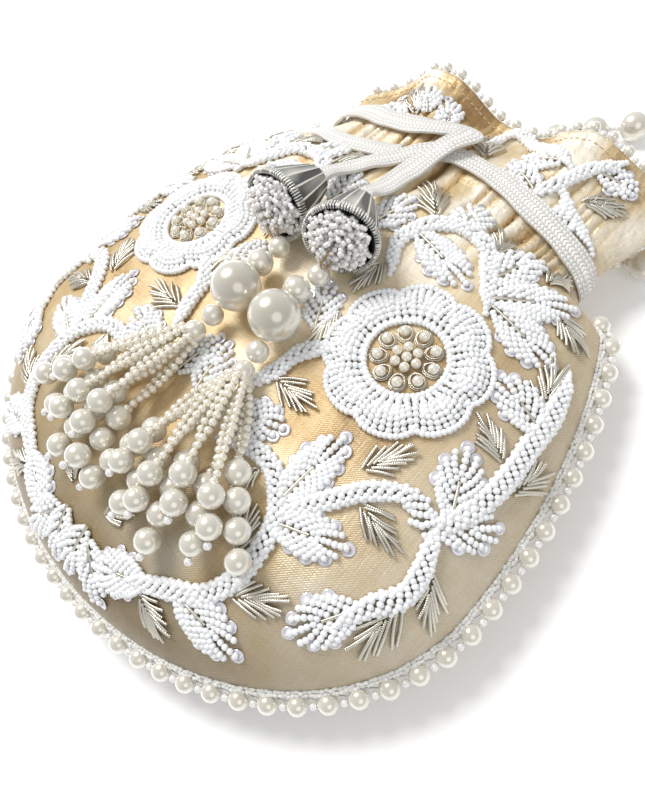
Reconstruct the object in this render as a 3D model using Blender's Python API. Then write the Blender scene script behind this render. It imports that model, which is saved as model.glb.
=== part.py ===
"""Potli bag: a beaded silk drawstring pouch lying on its back.

Units are metres, +Z is up, +X runs across the bag and +Y from the round bottom of
the pouch towards the gathered neck and the frill. The origin is the middle of the
flat patch that the bag lies on, under the widest line of the pouch.
"""

import math

import bmesh
import bpy
from mathutils import Matrix, Vector

MM = 0.001

# Pouch: egg-shaped in plan, puffed, with a seam all round its side
POUCH_HALF_WIDTH = 0.095
POUCH_BELOW = 0.071
POUCH_HEIGHT = 0.042
SEAM_HEIGHT = 0.016
PUFF_POWER = 2.9
PUFF_ROUNDING = 0.6
FLAT_SHARE = 0.72

# Neck: where the drawstring gathers the cloth
NECK_AT = 0.104
NECK_HALF_WIDTH = 0.062
NECK_CROWN = 0.031
NECK_BELLY = 0.0055
NECK_SEAM_HEIGHT = 0.0165
NECK_SKEW = 0.10
NECK_BOW = 0.006
NECK_STARTS = 0.080
NECK_LEFT_SHARE = 0.81
FRILL_LEFT_SHARE = 0.70
PLEAT_DEPTH = 0.0011
PLEAT_REACH_BELOW = 0.013
PLEAT_REACH_ABOVE = 0.010

# Frill: the two open leaves of cloth beyond the neck
FRILL_LENGTH = 0.031
FRILL_HALF_WIDTH = 0.073
FRILL_FRONT_HEIGHT = 0.0225
FRILL_BACK_HEIGHT = 0.0125
FRILL_LIFTS_WITHIN = 0.013
FRILL_CORNER_AT = 0.025
FRILL_CORNER_REACH = 0.025
FRILL_CORNER_DROP = 0.012
FRILL_SEAM_HEIGHT = 0.0185
FOLD_DEPTH = 0.0065
FOLD_PITCH = 0.060
FOLD_CREST_AT = -0.020
BACK_FOLD_DEPTH = 0.0008
CLOTH_WALL = 0.0012
MOUTH_DEPTH = 0.023

# Facets of the cloth
FRONT_SEGMENTS = 36
BACK_SEGMENTS = 18

# A bead under this size is drawn with fewer facets
SMALL_BEAD = 0.0050

# Clearance between pieces that touch on the real bag
GAP = 0.0003

# Beaded embroidery
RELIEF_HEIGHT = 0.0021
FLOWER_X = 0.0455
FLOWER_Y = 0.0385
FLOWER_RADIUS = 0.0225
FLOWER_PETALS = 8
FLOWER_NOTCH = 0.0016
FLOWER_EYE_RADIUS = 0.0104
EYE_PEARLS = 9
VINE_WIDTH = 0.0066
STEM_FACET = 0.0090
LEAF_WIDTH = 0.0124
LEAF_THICKNESS = 0.0016
LEAF_TOP_SHARE = 0.86
LEAF_CROWN = 0.0022
VINE_FLOOR = 0.0006
BRANCH_THICKNESS = 0.0019

# Edgings
RIM_PEARL = 0.0058
RIM_PEARL_PITCH = 0.0082
RIM_OVERHANG = 0.0030
RIM_DROP = 0.0018
RIM_ENDS_AT = 0.090
EDGING_THREAD = 0.0010
HEM_PEARL = 0.0036
HEM_PEARL_PITCH = 0.0066
HEM_OVERHANG = 0.0022

# Drawstring: a flat braided ribbon
RIBBON_WIDTH = 0.0080
RIBBON_THICKNESS = 0.0010
RIBBON_FACET = 0.0050
RIBBON_CLEARANCE = 0.0007
NECK_RIBBON_RISE = 0.0035
RIBBON_REACH = 0.90

# Tassels
CONE_LENGTH = 0.019
CONE_MOUTH_RADIUS = 0.0108
CONE_TOP_RADIUS = 0.0050
CONE_WALL = 0.0008
CONE_SIDES = 16
TUFT_SET_IN = 0.001
FIRST_PEARL = 0.0066
SECOND_PEARL = 0.0080
BIG_PEARL = 0.0145
LOWER_PEARL = 0.0065
STRAND_PEARL = 0.0070
STRAND_PEARLS = 3
STRAND_PEARL_PITCH = 0.0078
STRAND_STAGGER = 0.0038
CHAIN_SEED = 0.0019
CHAIN_SEED_PITCH = 0.0060
CHAIN_SPREAD = 0.0027
CHAIN_LEAD = 0.0022

# Handle: a loop of pearls on a thread, both ends sewn under the frill
HANDLE_PEARL = 0.0100
HANDLE_PITCH = 0.0130
HANDLE_END_BEAD = 0.0044
HANDLE_END_BEADS = 3
HANDLE_THREAD = 0.0012

# Routes and places chosen by hand, in millimetres, as (x, y) or (x, y, lift)
SCROLL_VINE = ((79, 61), (81, 52), (82, 42), (83, 30), (82, 19), (78, 9), (70, 10), (62, 5), (55, -4), (49, -12))
CURL_VINE = ((80, 7), (82, -1), (82, -9), (78, -16), (75, -22))
LOWER_VINE = ((24, -8), (33, -6), (41, -8), (48, -16), (50, -26), (49, -34), (44, -42), (36, -47), (27, -51))
ARCH_VINE = ((22, 59), (19, 67), (22, 76), (31, 81), (40, 79), (46, 72), (50, 65))
SCROLL_LEAVES = (((83, 45), (66, 51)), ((80, 12), (72, 30)), ((77, 8), (88, 19)))
CURL_LEAVES = (((77, -17), (67, -34)),)
LOWER_LEAVES = (((46, -12), (48, 12)), ((47, -17), (67, -9)), ((38, -46), (60, -47)), ((31, -50), (12, -58)))
ARCH_LEAVES = (((31, 79), (27, 93)), ((21, 72), (44, 66)), ((47, 70), (52, 89)), ((50, 66), (66, 80)),
               ((51, 65), (74, 62)))
RIGHT_END_ROUTE = (
    (25, 104.6, 1.0), (16, 105.2, 1.0), (8.5, 105.4, 1.0), (1.5, 103.6, 1.0), (-4.4, 99.6, 1.0),
    (-7.8, 94.2, 1.0), (-10.8, 88, 1.3), (-13, 80, 2.4),
)
LEFT_END_ROUTE = (
    (-25, 108.4, 1.0), (-14.5, 109.6, 1.0), (-5, 112, 2.2), (2.4, 113.8, 4.2), (6.6, 111.4, 5.6),
    (6.0, 106.4, 5.2), (3.6, 100.8, 4.4), (2.2, 94.6, 3.2), (1.8, 87.5, 2.0), (2.8, 79, 2.8),
)
LEFT_TASSEL = {
    "apex": (-13.4, 68.5), "mouth": (-11.4, 50.0),
    "first": (-4.4, 41.5), "second": (-5.8, 34.3), "big": (-2.4, 21.6),
    "third": (-5.9, 11.7), "fourth": (-6.1, 5.3), "fan": (229, 244, 259, 273),
}
RIGHT_TASSEL = {
    "apex": (4.2, 69.9), "mouth": (14.2, 51.2),
    "first": (11.2, 39.0), "second": (9.7, 30.5), "big": (15.5, 17.6),
    "third": (15.9, 7.1), "fourth": (17.3, 0.5), "fan": (253, 268, 283, 298, 313),
}
STRAND_LENGTH = 42 * MM
HANDLE_ROUTE = (
    (-36, 112), (-33, 119), (-23, 128), (-8, 135.6), (5, 141.5), (17.3, 150.6), (25.8, 158.6),
    (36, 165.8), (51, 173), (71, 177), (92, 173), (104, 160), (104, 144), (94, 131), (79, 122),
    (66, 117), (56, 111), (47, 104),
)

POUCH_ABOVE = NECK_AT / math.sqrt(1 - (NECK_HALF_WIDTH / POUCH_HALF_WIDTH) ** 2)
HEM_AT = NECK_AT + FRILL_LENGTH
TASSEL_FLOOR = RELIEF_HEIGHT + 2 * GAP


def smooth(value, start, end):
    """Ease from 0 at start to 1 at end."""
    share = min(1.0, max(0.0, (value - start) / (end - start)))
    return share * share * (3 - 2 * share)


def mix(first, second, share):
    return first + (second - first) * share


# The form of the cloth

def side_share(x, station):
    """How wide the side of x is against the right one: the left is drawn in more."""
    if x >= 0 or station <= NECK_STARTS:
        return 1.0
    drawn = mix(1.0, NECK_LEFT_SHARE, smooth(station, NECK_STARTS, NECK_AT))
    return mix(drawn, FRILL_LEFT_SHARE, smooth(station, NECK_AT, HEM_AT))


def half_width(x, station):
    """Width of the bag at a station from its middle to the seam on the side of x."""
    if station <= NECK_AT:
        semi = POUCH_BELOW if station < 0 else POUCH_ABOVE
        width = POUCH_HALF_WIDTH * math.sqrt(max(0.0, 1 - (station / semi) ** 2))
    else:
        width = mix(NECK_HALF_WIDTH, FRILL_HALF_WIDTH, smooth(station, NECK_AT, HEM_AT))
    return width * side_share(x, station)


def neck_line(x, station):
    """How far the cloth at x is drawn down by the tilted, bowed neck."""
    share = smooth(station, NECK_STARTS, NECK_AT)
    beyond = smooth(station, NECK_AT, HEM_AT)
    corner = max(0.0, -x - FRILL_CORNER_AT) / FRILL_CORNER_REACH
    rounded = FRILL_CORNER_DROP * corner ** 2 * beyond
    if x > 0:
        share *= 1 - beyond
    return -share * (NECK_SKEW * x + NECK_BOW * (x / NECK_HALF_WIDTH) ** 2) - rounded


def spread(x, station):
    """Distance from the middle of the pouch to its seam, as 0 to 1."""
    semi = POUCH_BELOW if station < 0 else POUCH_ABOVE
    return min(1.0, math.hypot(x / (POUCH_HALF_WIDTH * side_share(x, station)), station / semi))


def across(x, station):
    return min(1.0, abs(x) / max(half_width(x, station), 1e-6))


def pleats(station, count):
    """Height of one pleat, which alternates across the gathers."""
    if station <= NECK_STARTS:
        return 0.0
    reach = PLEAT_REACH_BELOW if station < NECK_AT else PLEAT_REACH_ABOVE
    return PLEAT_DEPTH * math.exp(-((station - NECK_AT) / reach) ** 2) * (-1) ** count


def seam_height(station):
    drawn = mix(SEAM_HEIGHT, NECK_SEAM_HEIGHT, smooth(station, NECK_STARTS, NECK_AT))
    return mix(drawn, FRILL_SEAM_HEIGHT, smooth(station, NECK_AT, HEM_AT))


def front_height(x, station):
    """Height of the upper cloth, without its pleats."""
    puff = (1 - spread(x, station) ** PUFF_POWER) ** PUFF_ROUNDING
    pouch = SEAM_HEIGHT + (POUCH_HEIGHT - SEAM_HEIGHT) * puff
    if station <= NECK_STARTS:
        return pouch
    seam = seam_height(station)
    crown = mix(NECK_CROWN, FRILL_FRONT_HEIGHT, smooth(station, NECK_AT, HEM_AT))
    share = across(x, station)
    drawn = seam + (crown - seam) * (1 - share ** PUFF_POWER) ** PUFF_ROUNDING
    fold = math.cos(2 * math.pi * (x - FOLD_CREST_AT) / FOLD_PITCH) * (1 - share ** 4)
    drawn += FOLD_DEPTH * fold * smooth(station, NECK_AT, HEM_AT)
    return mix(pouch, drawn, smooth(station, NECK_STARTS, NECK_AT))


def back_height(x, station):
    """Height of the lower cloth: flat where the bag lies, lifted under the frill."""
    outer = max(0.0, (spread(x, station) - FLAT_SHARE) / (1 - FLAT_SHARE))
    pouch = SEAM_HEIGHT * (1 - math.sqrt(max(0.0, 1 - outer ** 2)))
    if station <= NECK_STARTS:
        return pouch
    seam = seam_height(station)
    belly = mix(NECK_BELLY, FRILL_BACK_HEIGHT, smooth(station, NECK_AT, NECK_AT + FRILL_LIFTS_WITHIN))
    share = across(x, station)
    drawn = seam - (seam - belly) * (1 - share ** PUFF_POWER) ** PUFF_ROUNDING
    fold = math.cos(2 * math.pi * (x - FOLD_CREST_AT) / FOLD_PITCH) * (1 - share ** 4)
    drawn += BACK_FOLD_DEPTH * fold * smooth(station, NECK_AT, HEM_AT)
    return mix(pouch, drawn, smooth(station, NECK_STARTS, NECK_AT))


def station_at(x, y):
    """The station whose ring passes through a point of the plan."""
    station = y
    for _ in range(14):
        station = y - neck_line(x, station)
    return station


def cloth_top(x, y):
    """Height of the upper cloth over a point of the plan, pleat crests included."""
    station = station_at(x, y)
    return front_height(x, station) + abs(pleats(station, 0))


def cloth_under(x, y):
    """Height of the lower cloth over a point of the plan, pleat crests included."""
    station = station_at(x, y)
    return back_height(x, station) - abs(pleats(station, 0))


def cloth_normal(x, y, height=cloth_top):
    """Direction square to the cloth and upwards, from the slopes of one of its sides."""
    step = 0.5 * MM
    slope_x = (height(x + step, y) - height(x - step, y)) / (2 * step)
    slope_y = (height(x, y + step) - height(x, y - step)) / (2 * step)
    return Vector((-slope_x, -slope_y, 1)).normalized()


def cloth_ring(station, inset=0.0):
    """One closed ring round the bag: front from +X to -X, then back again."""
    ring = []
    for step in range(FRONT_SEGMENTS + BACK_SEGMENTS):
        on_front = step < FRONT_SEGMENTS
        turn = step / FRONT_SEGMENTS if on_front else 1 + (step - FRONT_SEGMENTS) / BACK_SEGMENTS
        cosine = math.cos(math.pi * turn)
        shape_x = half_width(cosine, station) * cosine
        x = shape_x - inset * cosine
        edge = 1 - across(shape_x, station) ** 4
        if on_front:
            z = front_height(shape_x, station) - inset * min(1.0, 3 * edge)
        else:
            z = back_height(shape_x, station) + inset * min(1.0, 3 * edge)
        z += pleats(station, step) * edge
        ring.append(Vector((x, station + neck_line(x, station), z)))
    return ring


# Modelling helpers

def colour(name, rgb, roughness, metallic=0.0):
    material = bpy.data.materials.new(name)
    material.use_nodes = True
    shader = material.node_tree.nodes["Principled BSDF"]
    shader.inputs["Base Color"].default_value = (*rgb, 1)
    shader.inputs["Roughness"].default_value = roughness
    shader.inputs["Metallic"].default_value = metallic
    return material


def place(name, data, material):
    """A named object of the bag with its material."""
    node = bpy.data.objects.new(name, data)
    data.materials.append(material)
    parts.objects.link(node)
    return node


def mesh_of(name, form, material):
    """A mesh object from a bmesh, with its faces turned outwards."""
    bmesh.ops.recalc_face_normals(form, faces=form.faces)
    mesh = bpy.data.meshes.new(name)
    form.to_mesh(mesh)
    form.free()
    mesh.shade_smooth()
    return place(name, mesh, material)


def loft(name, rings, material, start=None, end=None, closed=False):
    """Skin rings of equal count. A point closes an open end, otherwise a flat face does."""
    form = bmesh.new()
    rows = [[form.verts.new(point) for point in ring] for ring in rings]
    count = len(rows[0])
    pairs = list(zip(rows, rows[1:]))
    if closed:
        pairs.append((rows[-1], rows[0]))
    for low, high in pairs:
        for step in range(count):
            after = (step + 1) % count
            form.faces.new((low[step], low[after], high[after], high[step]))
    for row, tip in ((rows[0], start), (rows[-1], end)):
        if closed:
            continue
        if tip is None:
            form.faces.new(row)
            continue
        point = form.verts.new(tip)
        for step in range(count):
            form.faces.new((row[step], row[(step + 1) % count], point))
    bmesh.ops.triangulate(form, faces=form.faces)
    return mesh_of(name, form, material)


def curve_through(points, closed=False):
    """Points on a smooth curve through the given ones, eight to a stretch."""
    count = len(points)
    result = []
    for index in range(count if closed else count - 1):
        if closed:
            near = [points[(index + shift) % count] for shift in (-1, 0, 1, 2)]
        else:
            near = [points[min(max(index + shift, 0), count - 1)] for shift in (-1, 0, 1, 2)]
        before, first, second, after = near
        for step in range(8):
            t = step / 8
            result.append(0.5 * (2 * first + (second - before) * t
                                 + (2 * before - 5 * first + 4 * second - after) * t ** 2
                                 + (3 * first - before - 3 * second + after) * t ** 3))
    if not closed:
        result.append(points[-1])
    return result


def spaced(points, pitch, closed=False):
    """Points a pitch apart along a line, the pitch eased so that they fit it evenly."""
    line = list(points) + ([points[0]] if closed else [])
    lengths = [0.0]
    for first, second in zip(line, line[1:]):
        lengths.append(lengths[-1] + (second - first).length)
    count = max(1, round(lengths[-1] / pitch))
    result = []
    index = 0
    for step in range(count if closed else count + 1):
        target = lengths[-1] * step / count
        while index < len(line) - 2 and lengths[index + 1] < target:
            index += 1
        share = (target - lengths[index]) / max(lengths[index + 1] - lengths[index], 1e-9)
        result.append(line[index].lerp(line[index + 1], min(1.0, share)))
    return result


def thread_curve(name, points, radii, sides, material, closed=False):
    """A round body along points, with a radius at each: a thread with its beads."""
    data = bpy.data.curves.new(name, "CURVE")
    data.dimensions = "3D"
    data.bevel_depth = 1.0
    data.bevel_resolution = (sides - 4) // 2
    data.use_fill_caps = True
    spline = data.splines.new("POLY")
    spline.points.add(len(points) - 1)
    for control, point, radius in zip(spline.points, points, radii):
        control.co = (*point, 1)
        control.radius = radius
    spline.use_cyclic_u = closed
    return place(name, data, material)


def bead_string(name, centres, radii, thread, sides, material, closed=False):
    """Beads on a thread as one body. A bead has a waist, and a small one a single belly ring."""
    count = len(centres)
    points = []
    widths = []
    for index, centre in enumerate(centres):
        radius = radii[index]
        before = centres[index - 1] if closed or index > 0 else None
        after = centres[(index + 1) % count] if closed or index < count - 1 else None
        heading = ((after or centre) - (before or centre)).normalized()
        if before is None:
            points.append(centre - heading * radius)
            widths.append(thread / 2)
        if radius < SMALL_BEAD / 2:
            points.append(centre)
            widths.append(radius)
        else:
            belly = 0.5 * radius
            points += [centre - heading * belly, centre + heading * belly]
            widths += [0.9 * radius] * 2
        if after is None:
            points.append(centre + heading * radius)
        else:
            points.append(centre.lerp(after, radius / (radius + radii[(index + 1) % count])))
        widths.append(thread / 2)
    return thread_curve(name, points, widths, sides, material, closed)


def plain_mesh(node):
    """A curve object turned into a welded mesh object of the same name."""
    evaluated = node.evaluated_get(bpy.context.evaluated_depsgraph_get())
    mesh = bpy.data.meshes.new_from_object(evaluated)
    form = bmesh.new()
    form.from_mesh(mesh)
    bmesh.ops.remove_doubles(form, verts=form.verts, dist=1e-6)
    bmesh.ops.recalc_face_normals(form, faces=form.faces)
    form.to_mesh(mesh)
    form.free()
    name = node.name
    bpy.data.objects.remove(node)
    solid = bpy.data.objects.new(name, mesh)
    parts.objects.link(solid)
    return solid


def united(body, others):
    """One closed body from a mesh object and the pieces that grow from it."""
    for other in others:
        boolean = body.modifiers.new(other.name, "BOOLEAN")
        boolean.operation = "UNION"
        boolean.object = other
    bpy.context.view_layer.update()
    evaluated = body.evaluated_get(bpy.context.evaluated_depsgraph_get())
    mesh = bpy.data.meshes.new_from_object(evaluated)
    body.modifiers.clear()
    body.data = mesh
    for other in others:
        bpy.data.objects.remove(other)
    return body


def drape(node, floor=GAP):
    """Lift a relief that was modelled flat on to the upper cloth."""
    for vertex in node.data.vertices:
        vertex.co.x *= side_share(vertex.co.x, vertex.co.y)
        vertex.co.z += cloth_top(vertex.co.x, vertex.co.y) + floor


def on_cloth(x, y, lift):
    """A point at a distance from the upper cloth, along its normal."""
    return Vector((x, y, cloth_top(x, y))) + cloth_normal(x, y) * lift


# The pieces

def bag_cloth():
    """Pouch, gathered neck and frill: one puffed, closed body with an open mouth."""
    low = [-POUCH_BELOW * math.cos(math.radians(angle)) for angle in (12, 27, 43, 59, 75, 90)]
    stations = low + [NECK_STARTS * share for share in (0.2, 0.4, 0.6, 0.8, 1.0)]
    stations += [mix(NECK_STARTS, NECK_AT, share) for share in (0.35, 0.6, 0.82, 1.0)]
    stations += [mix(NECK_AT, HEM_AT, share) for share in (0.15, 0.32, 0.54, 0.77, 1.0)]
    rings = [cloth_ring(station) for station in stations]
    for share in (0.0, 0.5, 1.0):
        rings.append(cloth_ring(HEM_AT - MOUTH_DEPTH * share, inset=CLOTH_WALL))
    bottom = Vector((0, -POUCH_BELOW, SEAM_HEIGHT))
    floor_at = HEM_AT - MOUTH_DEPTH
    middle = (front_height(0, floor_at) + back_height(0, floor_at)) / 2
    mouth_floor = Vector((0, floor_at - 3 * CLOTH_WALL, middle))
    return loft("bag_cloth", rings, silk, start=bottom, end=mouth_floor)


def seam_line(side, last_station):
    """The side seam from the bottom of the pouch up one side."""
    line = []
    for step in range(49):
        angle = math.pi / 2 * step / 24
        station = -POUCH_BELOW * math.cos(angle) if angle <= math.pi / 2 else (step - 24) / 24 * last_station
        x = side * half_width(side, station)
        line.append(Vector((x, station + neck_line(x, station), SEAM_HEIGHT)))
    return line


def rim_edging():
    """Pearls hung from the seam on a thread, from one side of the neck to the other."""
    right = seam_line(1, RIM_ENDS_AT)
    left = seam_line(-1, RIM_ENDS_AT)
    seam = right[:0:-1] + left
    outward = []
    for index, point in enumerate(seam):
        along = seam[min(index + 1, len(seam) - 1)] - seam[max(index - 1, 0)]
        normal = Vector((-along.y, along.x, 0)).normalized()
        outward.append(point + normal * RIM_OVERHANG - Vector((0, 0, RIM_DROP)))
    centres = spaced(outward, RIM_PEARL_PITCH)
    radii = [RIM_PEARL / 2] * len(centres)
    bead_string("rim_edging", centres, radii, EDGING_THREAD, 4, pearl)


def hem_edging():
    """Small pearls sewn along the open edge of the frill, all the way round."""
    line = []
    for outer, inner in zip(cloth_ring(HEM_AT), cloth_ring(HEM_AT, inset=CLOTH_WALL)):
        line.append((outer + inner) / 2 + Vector((0, HEM_OVERHANG, 0)))
    centres = spaced(line, HEM_PEARL_PITCH, closed=True)
    radii = [HEM_PEARL / 2] * len(centres)
    bead_string("hem_edging", centres, radii, EDGING_THREAD, 4, pearl, closed=True)


def flower(side, name):
    """A scalloped ring of beaded petals with an eye of pearls in its bore."""
    count = FLOWER_PETALS * 4
    bore = FLOWER_EYE_RADIUS + GAP
    body_width = FLOWER_RADIUS - bore
    profile = ((1.0, 0.0), (0.92, 0.9), (0.10, 1.0), (0.0, 0.0))
    rings = []
    for share, height in profile:
        ring = []
        for step in range(count):
            angle = 2 * math.pi * step / count
            scallop = abs(math.sin(FLOWER_PETALS * angle / 2))
            reach = bore + share * (body_width - FLOWER_NOTCH * (1 - scallop))
            lift = RELIEF_HEIGHT * height * (0.8 + 0.2 * scallop)
            x = side * FLOWER_X + reach * math.cos(angle)
            y = FLOWER_Y + reach * math.sin(angle)
            ring.append(Vector((x, y, lift)))
        rings.append(ring)
    drape(loft("flower_" + name, rings, seed_bead, closed=True))
    eye_count = EYE_PEARLS * 2
    eye_profile = ((1.0, 0.0), (0.96, 0.5), (0.78, 1.25), (0.55, 0.7), (0.30, 1.2))
    rings = []
    for share, height in eye_profile:
        ring = []
        for step in range(eye_count):
            angle = 2 * math.pi * step / eye_count
            swell = 1.0 if step % 2 == 0 or height < 1 else 0.7
            x = side * FLOWER_X + FLOWER_EYE_RADIUS * share * math.cos(angle)
            y = FLOWER_Y + FLOWER_EYE_RADIUS * share * math.sin(angle)
            ring.append(Vector((x, y, RELIEF_HEIGHT * height * swell)))
        rings.append(ring)
    centre = Vector((side * FLOWER_X, FLOWER_Y, 0))
    crown = centre + Vector((0, 0, 1.3 * RELIEF_HEIGHT))
    drape(loft("flower_eye_" + name, rings, pearl, start=centre, end=crown))


def leaf(base, tip, side):
    """A flat pointed leaf with a low crown, from its base to its tip, as a mesh object."""
    start = Vector((side * base[0], base[1], 0)) * MM
    end = Vector((side * tip[0], tip[1], 0)) * MM
    axis = end - start
    beside = Vector((-axis.y, axis.x, 0)).normalized() * LEAF_WIDTH / 2
    outline = ((0.0, 0.0), (0.26, 1.0), (0.74, 0.86), (1.0, 0.0), (0.74, -0.86), (0.26, -1.0))
    middle = start + axis / 2
    rings = []
    for share, height in ((1.0, 0.0), (LEAF_TOP_SHARE, LEAF_THICKNESS)):
        ring = []
        for along, out in outline:
            place_at = start + axis * along + beside * out
            ring.append(middle + (place_at - middle) * share + Vector((0, 0, height)))
        rings.append(ring)
    crown = middle + Vector((0, 0, LEAF_CROWN))
    return loft("leaf", rings, seed_bead, start=middle, end=crown)


def vine_stem(name, route, side, thickness):
    """A flattened beaded rope along a route, as a mesh object."""
    points = [Vector((side * x, y, 0)) * MM for x, y in route]
    line = spaced(curve_through(points), STEM_FACET)
    stem = plain_mesh(thread_curve(name, line, [VINE_WIDTH / 2] * len(line), 6, seed_bead))
    for vertex in stem.data.vertices:
        vertex.co.z = thickness / 2 * (1 + vertex.co.z / (VINE_WIDTH / 2))
    return stem


def vine(name, routes, leaves, side):
    """Stems and leaves of one spray, grown together and laid on the cloth."""
    body = vine_stem(name, routes[0], side, RELIEF_HEIGHT)
    others = [vine_stem(name + "_branch", route, side, BRANCH_THICKNESS) for route in routes[1:]]
    others += [leaf(base, tip, side) for base, tip in leaves]
    drape(united(body, others), VINE_FLOOR)


def ribbon(name, points, normals, material):
    """A flat braid along points, square to its normals."""
    rings = []
    for index, point in enumerate(points):
        heading = points[min(index + 1, len(points) - 1)] - points[max(index - 1, 0)]
        beside = heading.cross(normals[index]).normalized() * RIBBON_WIDTH / 2
        above = beside.cross(heading).normalized() * RIBBON_THICKNESS / 2
        rings.append([point - beside - above, point + beside - above,
                      point + beside + above, point - beside + above])
    return loft(name, rings, material)


def cone_place(plan):
    """Centres of a cone's mouth and top, as it lies on the embroidery."""
    mouth_x, mouth_y = (value * MM for value in plan["mouth"])
    apex_x, apex_y = (value * MM for value in plan["apex"])
    mouth = resting(mouth_x, mouth_y, CONE_MOUTH_RADIUS)
    apex = resting(apex_x, apex_y, CONE_TOP_RADIUS)
    return mouth, mouth + (apex - mouth).normalized() * CONE_LENGTH


def front_ribbon(name, side, route, plan):
    """One half of the drawstring: over the gathers, then down to its cone."""
    seat = RIBBON_CLEARANCE + RIBBON_THICKNESS / 2
    places = []
    for share in (RIBBON_REACH, 0.82, 0.72, 0.60):
        x = side * share * half_width(side, NECK_AT)
        places.append((x, NECK_AT + NECK_RIBBON_RISE + neck_line(x, NECK_AT), seat))
    places += [(x * MM, y * MM, lift * MM) for x, y, lift in route]
    mouth, top = cone_place(plan)
    axis = (top - mouth).normalized()
    ends = [top + axis * (RIBBON_CLEARANCE + share * RIBBON_FACET) for share in (1, 0)]
    places.append((ends[0].x, ends[0].y, ends[0].z - cloth_top(ends[0].x, ends[0].y)))
    line = spaced(curve_through([Vector(item) for item in places]), RIBBON_FACET)
    points = [on_cloth(*item) for item in line[:-1]] + ends
    normals = [cloth_normal(item.x, item.y) for item in points]
    ribbon(name, points, normals, braid)


def back_ribbon():
    """The drawstring's stretch round the back of the neck, from seam to seam."""
    seat = RIBBON_CLEARANCE + RIBBON_THICKNESS / 2
    points = []
    normals = []
    for step in range(BACK_SEGMENTS - 1):
        cosine = math.cos(math.pi * step / (BACK_SEGMENTS - 2))
        x = RIBBON_REACH * half_width(cosine, NECK_AT) * cosine
        y = NECK_AT + neck_line(x, NECK_AT)
        normal = cloth_normal(x, y, cloth_under)
        points.append(Vector((x, y, cloth_under(x, y))) - normal * seat)
        normals.append(normal)
    ribbon("drawstring_back", points, normals, braid)


def ball(name, centre, radius, bore, segments, rings, material):
    """A round bead whose poles lie on the line of its bore."""
    form = bmesh.new()
    bmesh.ops.create_uvsphere(form, u_segments=segments, v_segments=rings, radius=radius)
    aim = bore.to_track_quat("Z", "Y").to_matrix().to_4x4()
    bmesh.ops.transform(form, matrix=Matrix.Translation(centre) @ aim, verts=form.verts)
    return mesh_of(name, form, material)


def cone(name, mouth, top):
    """A hollow turned cone, open at its mouth, with the ribbon's end on its top."""
    inner_mouth = CONE_MOUTH_RADIUS - CONE_WALL
    inner_top = CONE_TOP_RADIUS - CONE_WALL
    profile = (
        (0.0, CONE_LENGTH), (0.72 * CONE_TOP_RADIUS, CONE_LENGTH), (CONE_TOP_RADIUS, 0.93 * CONE_LENGTH),
        (CONE_MOUTH_RADIUS, 0.0), (inner_mouth, 0.0), (inner_top, 0.90 * CONE_LENGTH),
        (0.0, 0.95 * CONE_LENGTH - CONE_WALL / 2),
    )
    form = bmesh.new()
    corners = [form.verts.new((x, 0, z)) for x, z in profile]
    for first, second in zip(corners, corners[1:]):
        form.edges.new((first, second))
    bmesh.ops.spin(
        form, geom=form.verts[:] + form.edges[:], cent=(0, 0, 0), axis=(0, 0, 1),
        angle=2 * math.pi, steps=CONE_SIDES, use_merge=True,
    )
    bmesh.ops.remove_doubles(form, verts=form.verts, dist=1e-6)
    bmesh.ops.triangulate(form, faces=form.faces)
    aim = (top - mouth).to_track_quat("Z", "Y").to_matrix().to_4x4()
    bmesh.ops.transform(form, matrix=Matrix.Translation(mouth) @ aim, verts=form.verts)
    return mesh_of(name, form, zari)


def resting(x, y, radius):
    """Centre of a ball that lies on the embroidery."""
    return Vector((x, y, cloth_top(x, y) + TASSEL_FLOOR + radius))


def next_pearl(previous, previous_radius, target, radius):
    """Centre of the next pearl on the thread, touching the one before."""
    reach = previous_radius + radius + GAP
    heading = Vector((target[0] * MM - previous.x, target[1] * MM - previous.y)).normalized()
    travel = reach
    for _ in range(8):
        centre = resting(previous.x + heading.x * travel, previous.y + heading.y * travel, radius)
        travel = math.sqrt(max(0.0, reach ** 2 - (centre.z - previous.z) ** 2))
    return centre


def tassel(name, plan):
    """Cone, tuft, pearls and strands at the end of one ribbon."""
    mouth, top = cone_place(plan)
    axis = (mouth - top).normalized()
    cone("cone_" + name, mouth, top)
    slope = math.atan2(CONE_MOUTH_RADIUS - CONE_TOP_RADIUS, 0.9 * CONE_LENGTH)
    wall_at = CONE_MOUTH_RADIUS - CONE_WALL - TUFT_SET_IN * math.tan(slope)
    tuft_radius = wall_at * math.cos(slope) - 2 * GAP
    tuft_centre = mouth - axis * TUFT_SET_IN
    ball("tuft_" + name, tuft_centre, tuft_radius, axis, 10, 5, clear_bead)
    centres = [tuft_centre]
    radii = [tuft_radius]
    labels = ("first", "second", "big", "third", "fourth")
    for label, size in zip(labels, (FIRST_PEARL, SECOND_PEARL, BIG_PEARL, LOWER_PEARL, LOWER_PEARL)):
        centres.append(next_pearl(centres[-1], radii[-1], plan[label], size / 2))
        radii.append(size / 2)
    for index, label in enumerate(labels, 1):
        after = min(index + 1, len(labels))
        bore = centres[after] - centres[index - 1]
        facets = (12, 7) if label == "big" else (8, 5)
        ball("pearl_" + label + "_" + name, centres[index], radii[index], bore, *facets, pearl)
    strands(name, centres[-1], plan["fan"])


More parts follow.
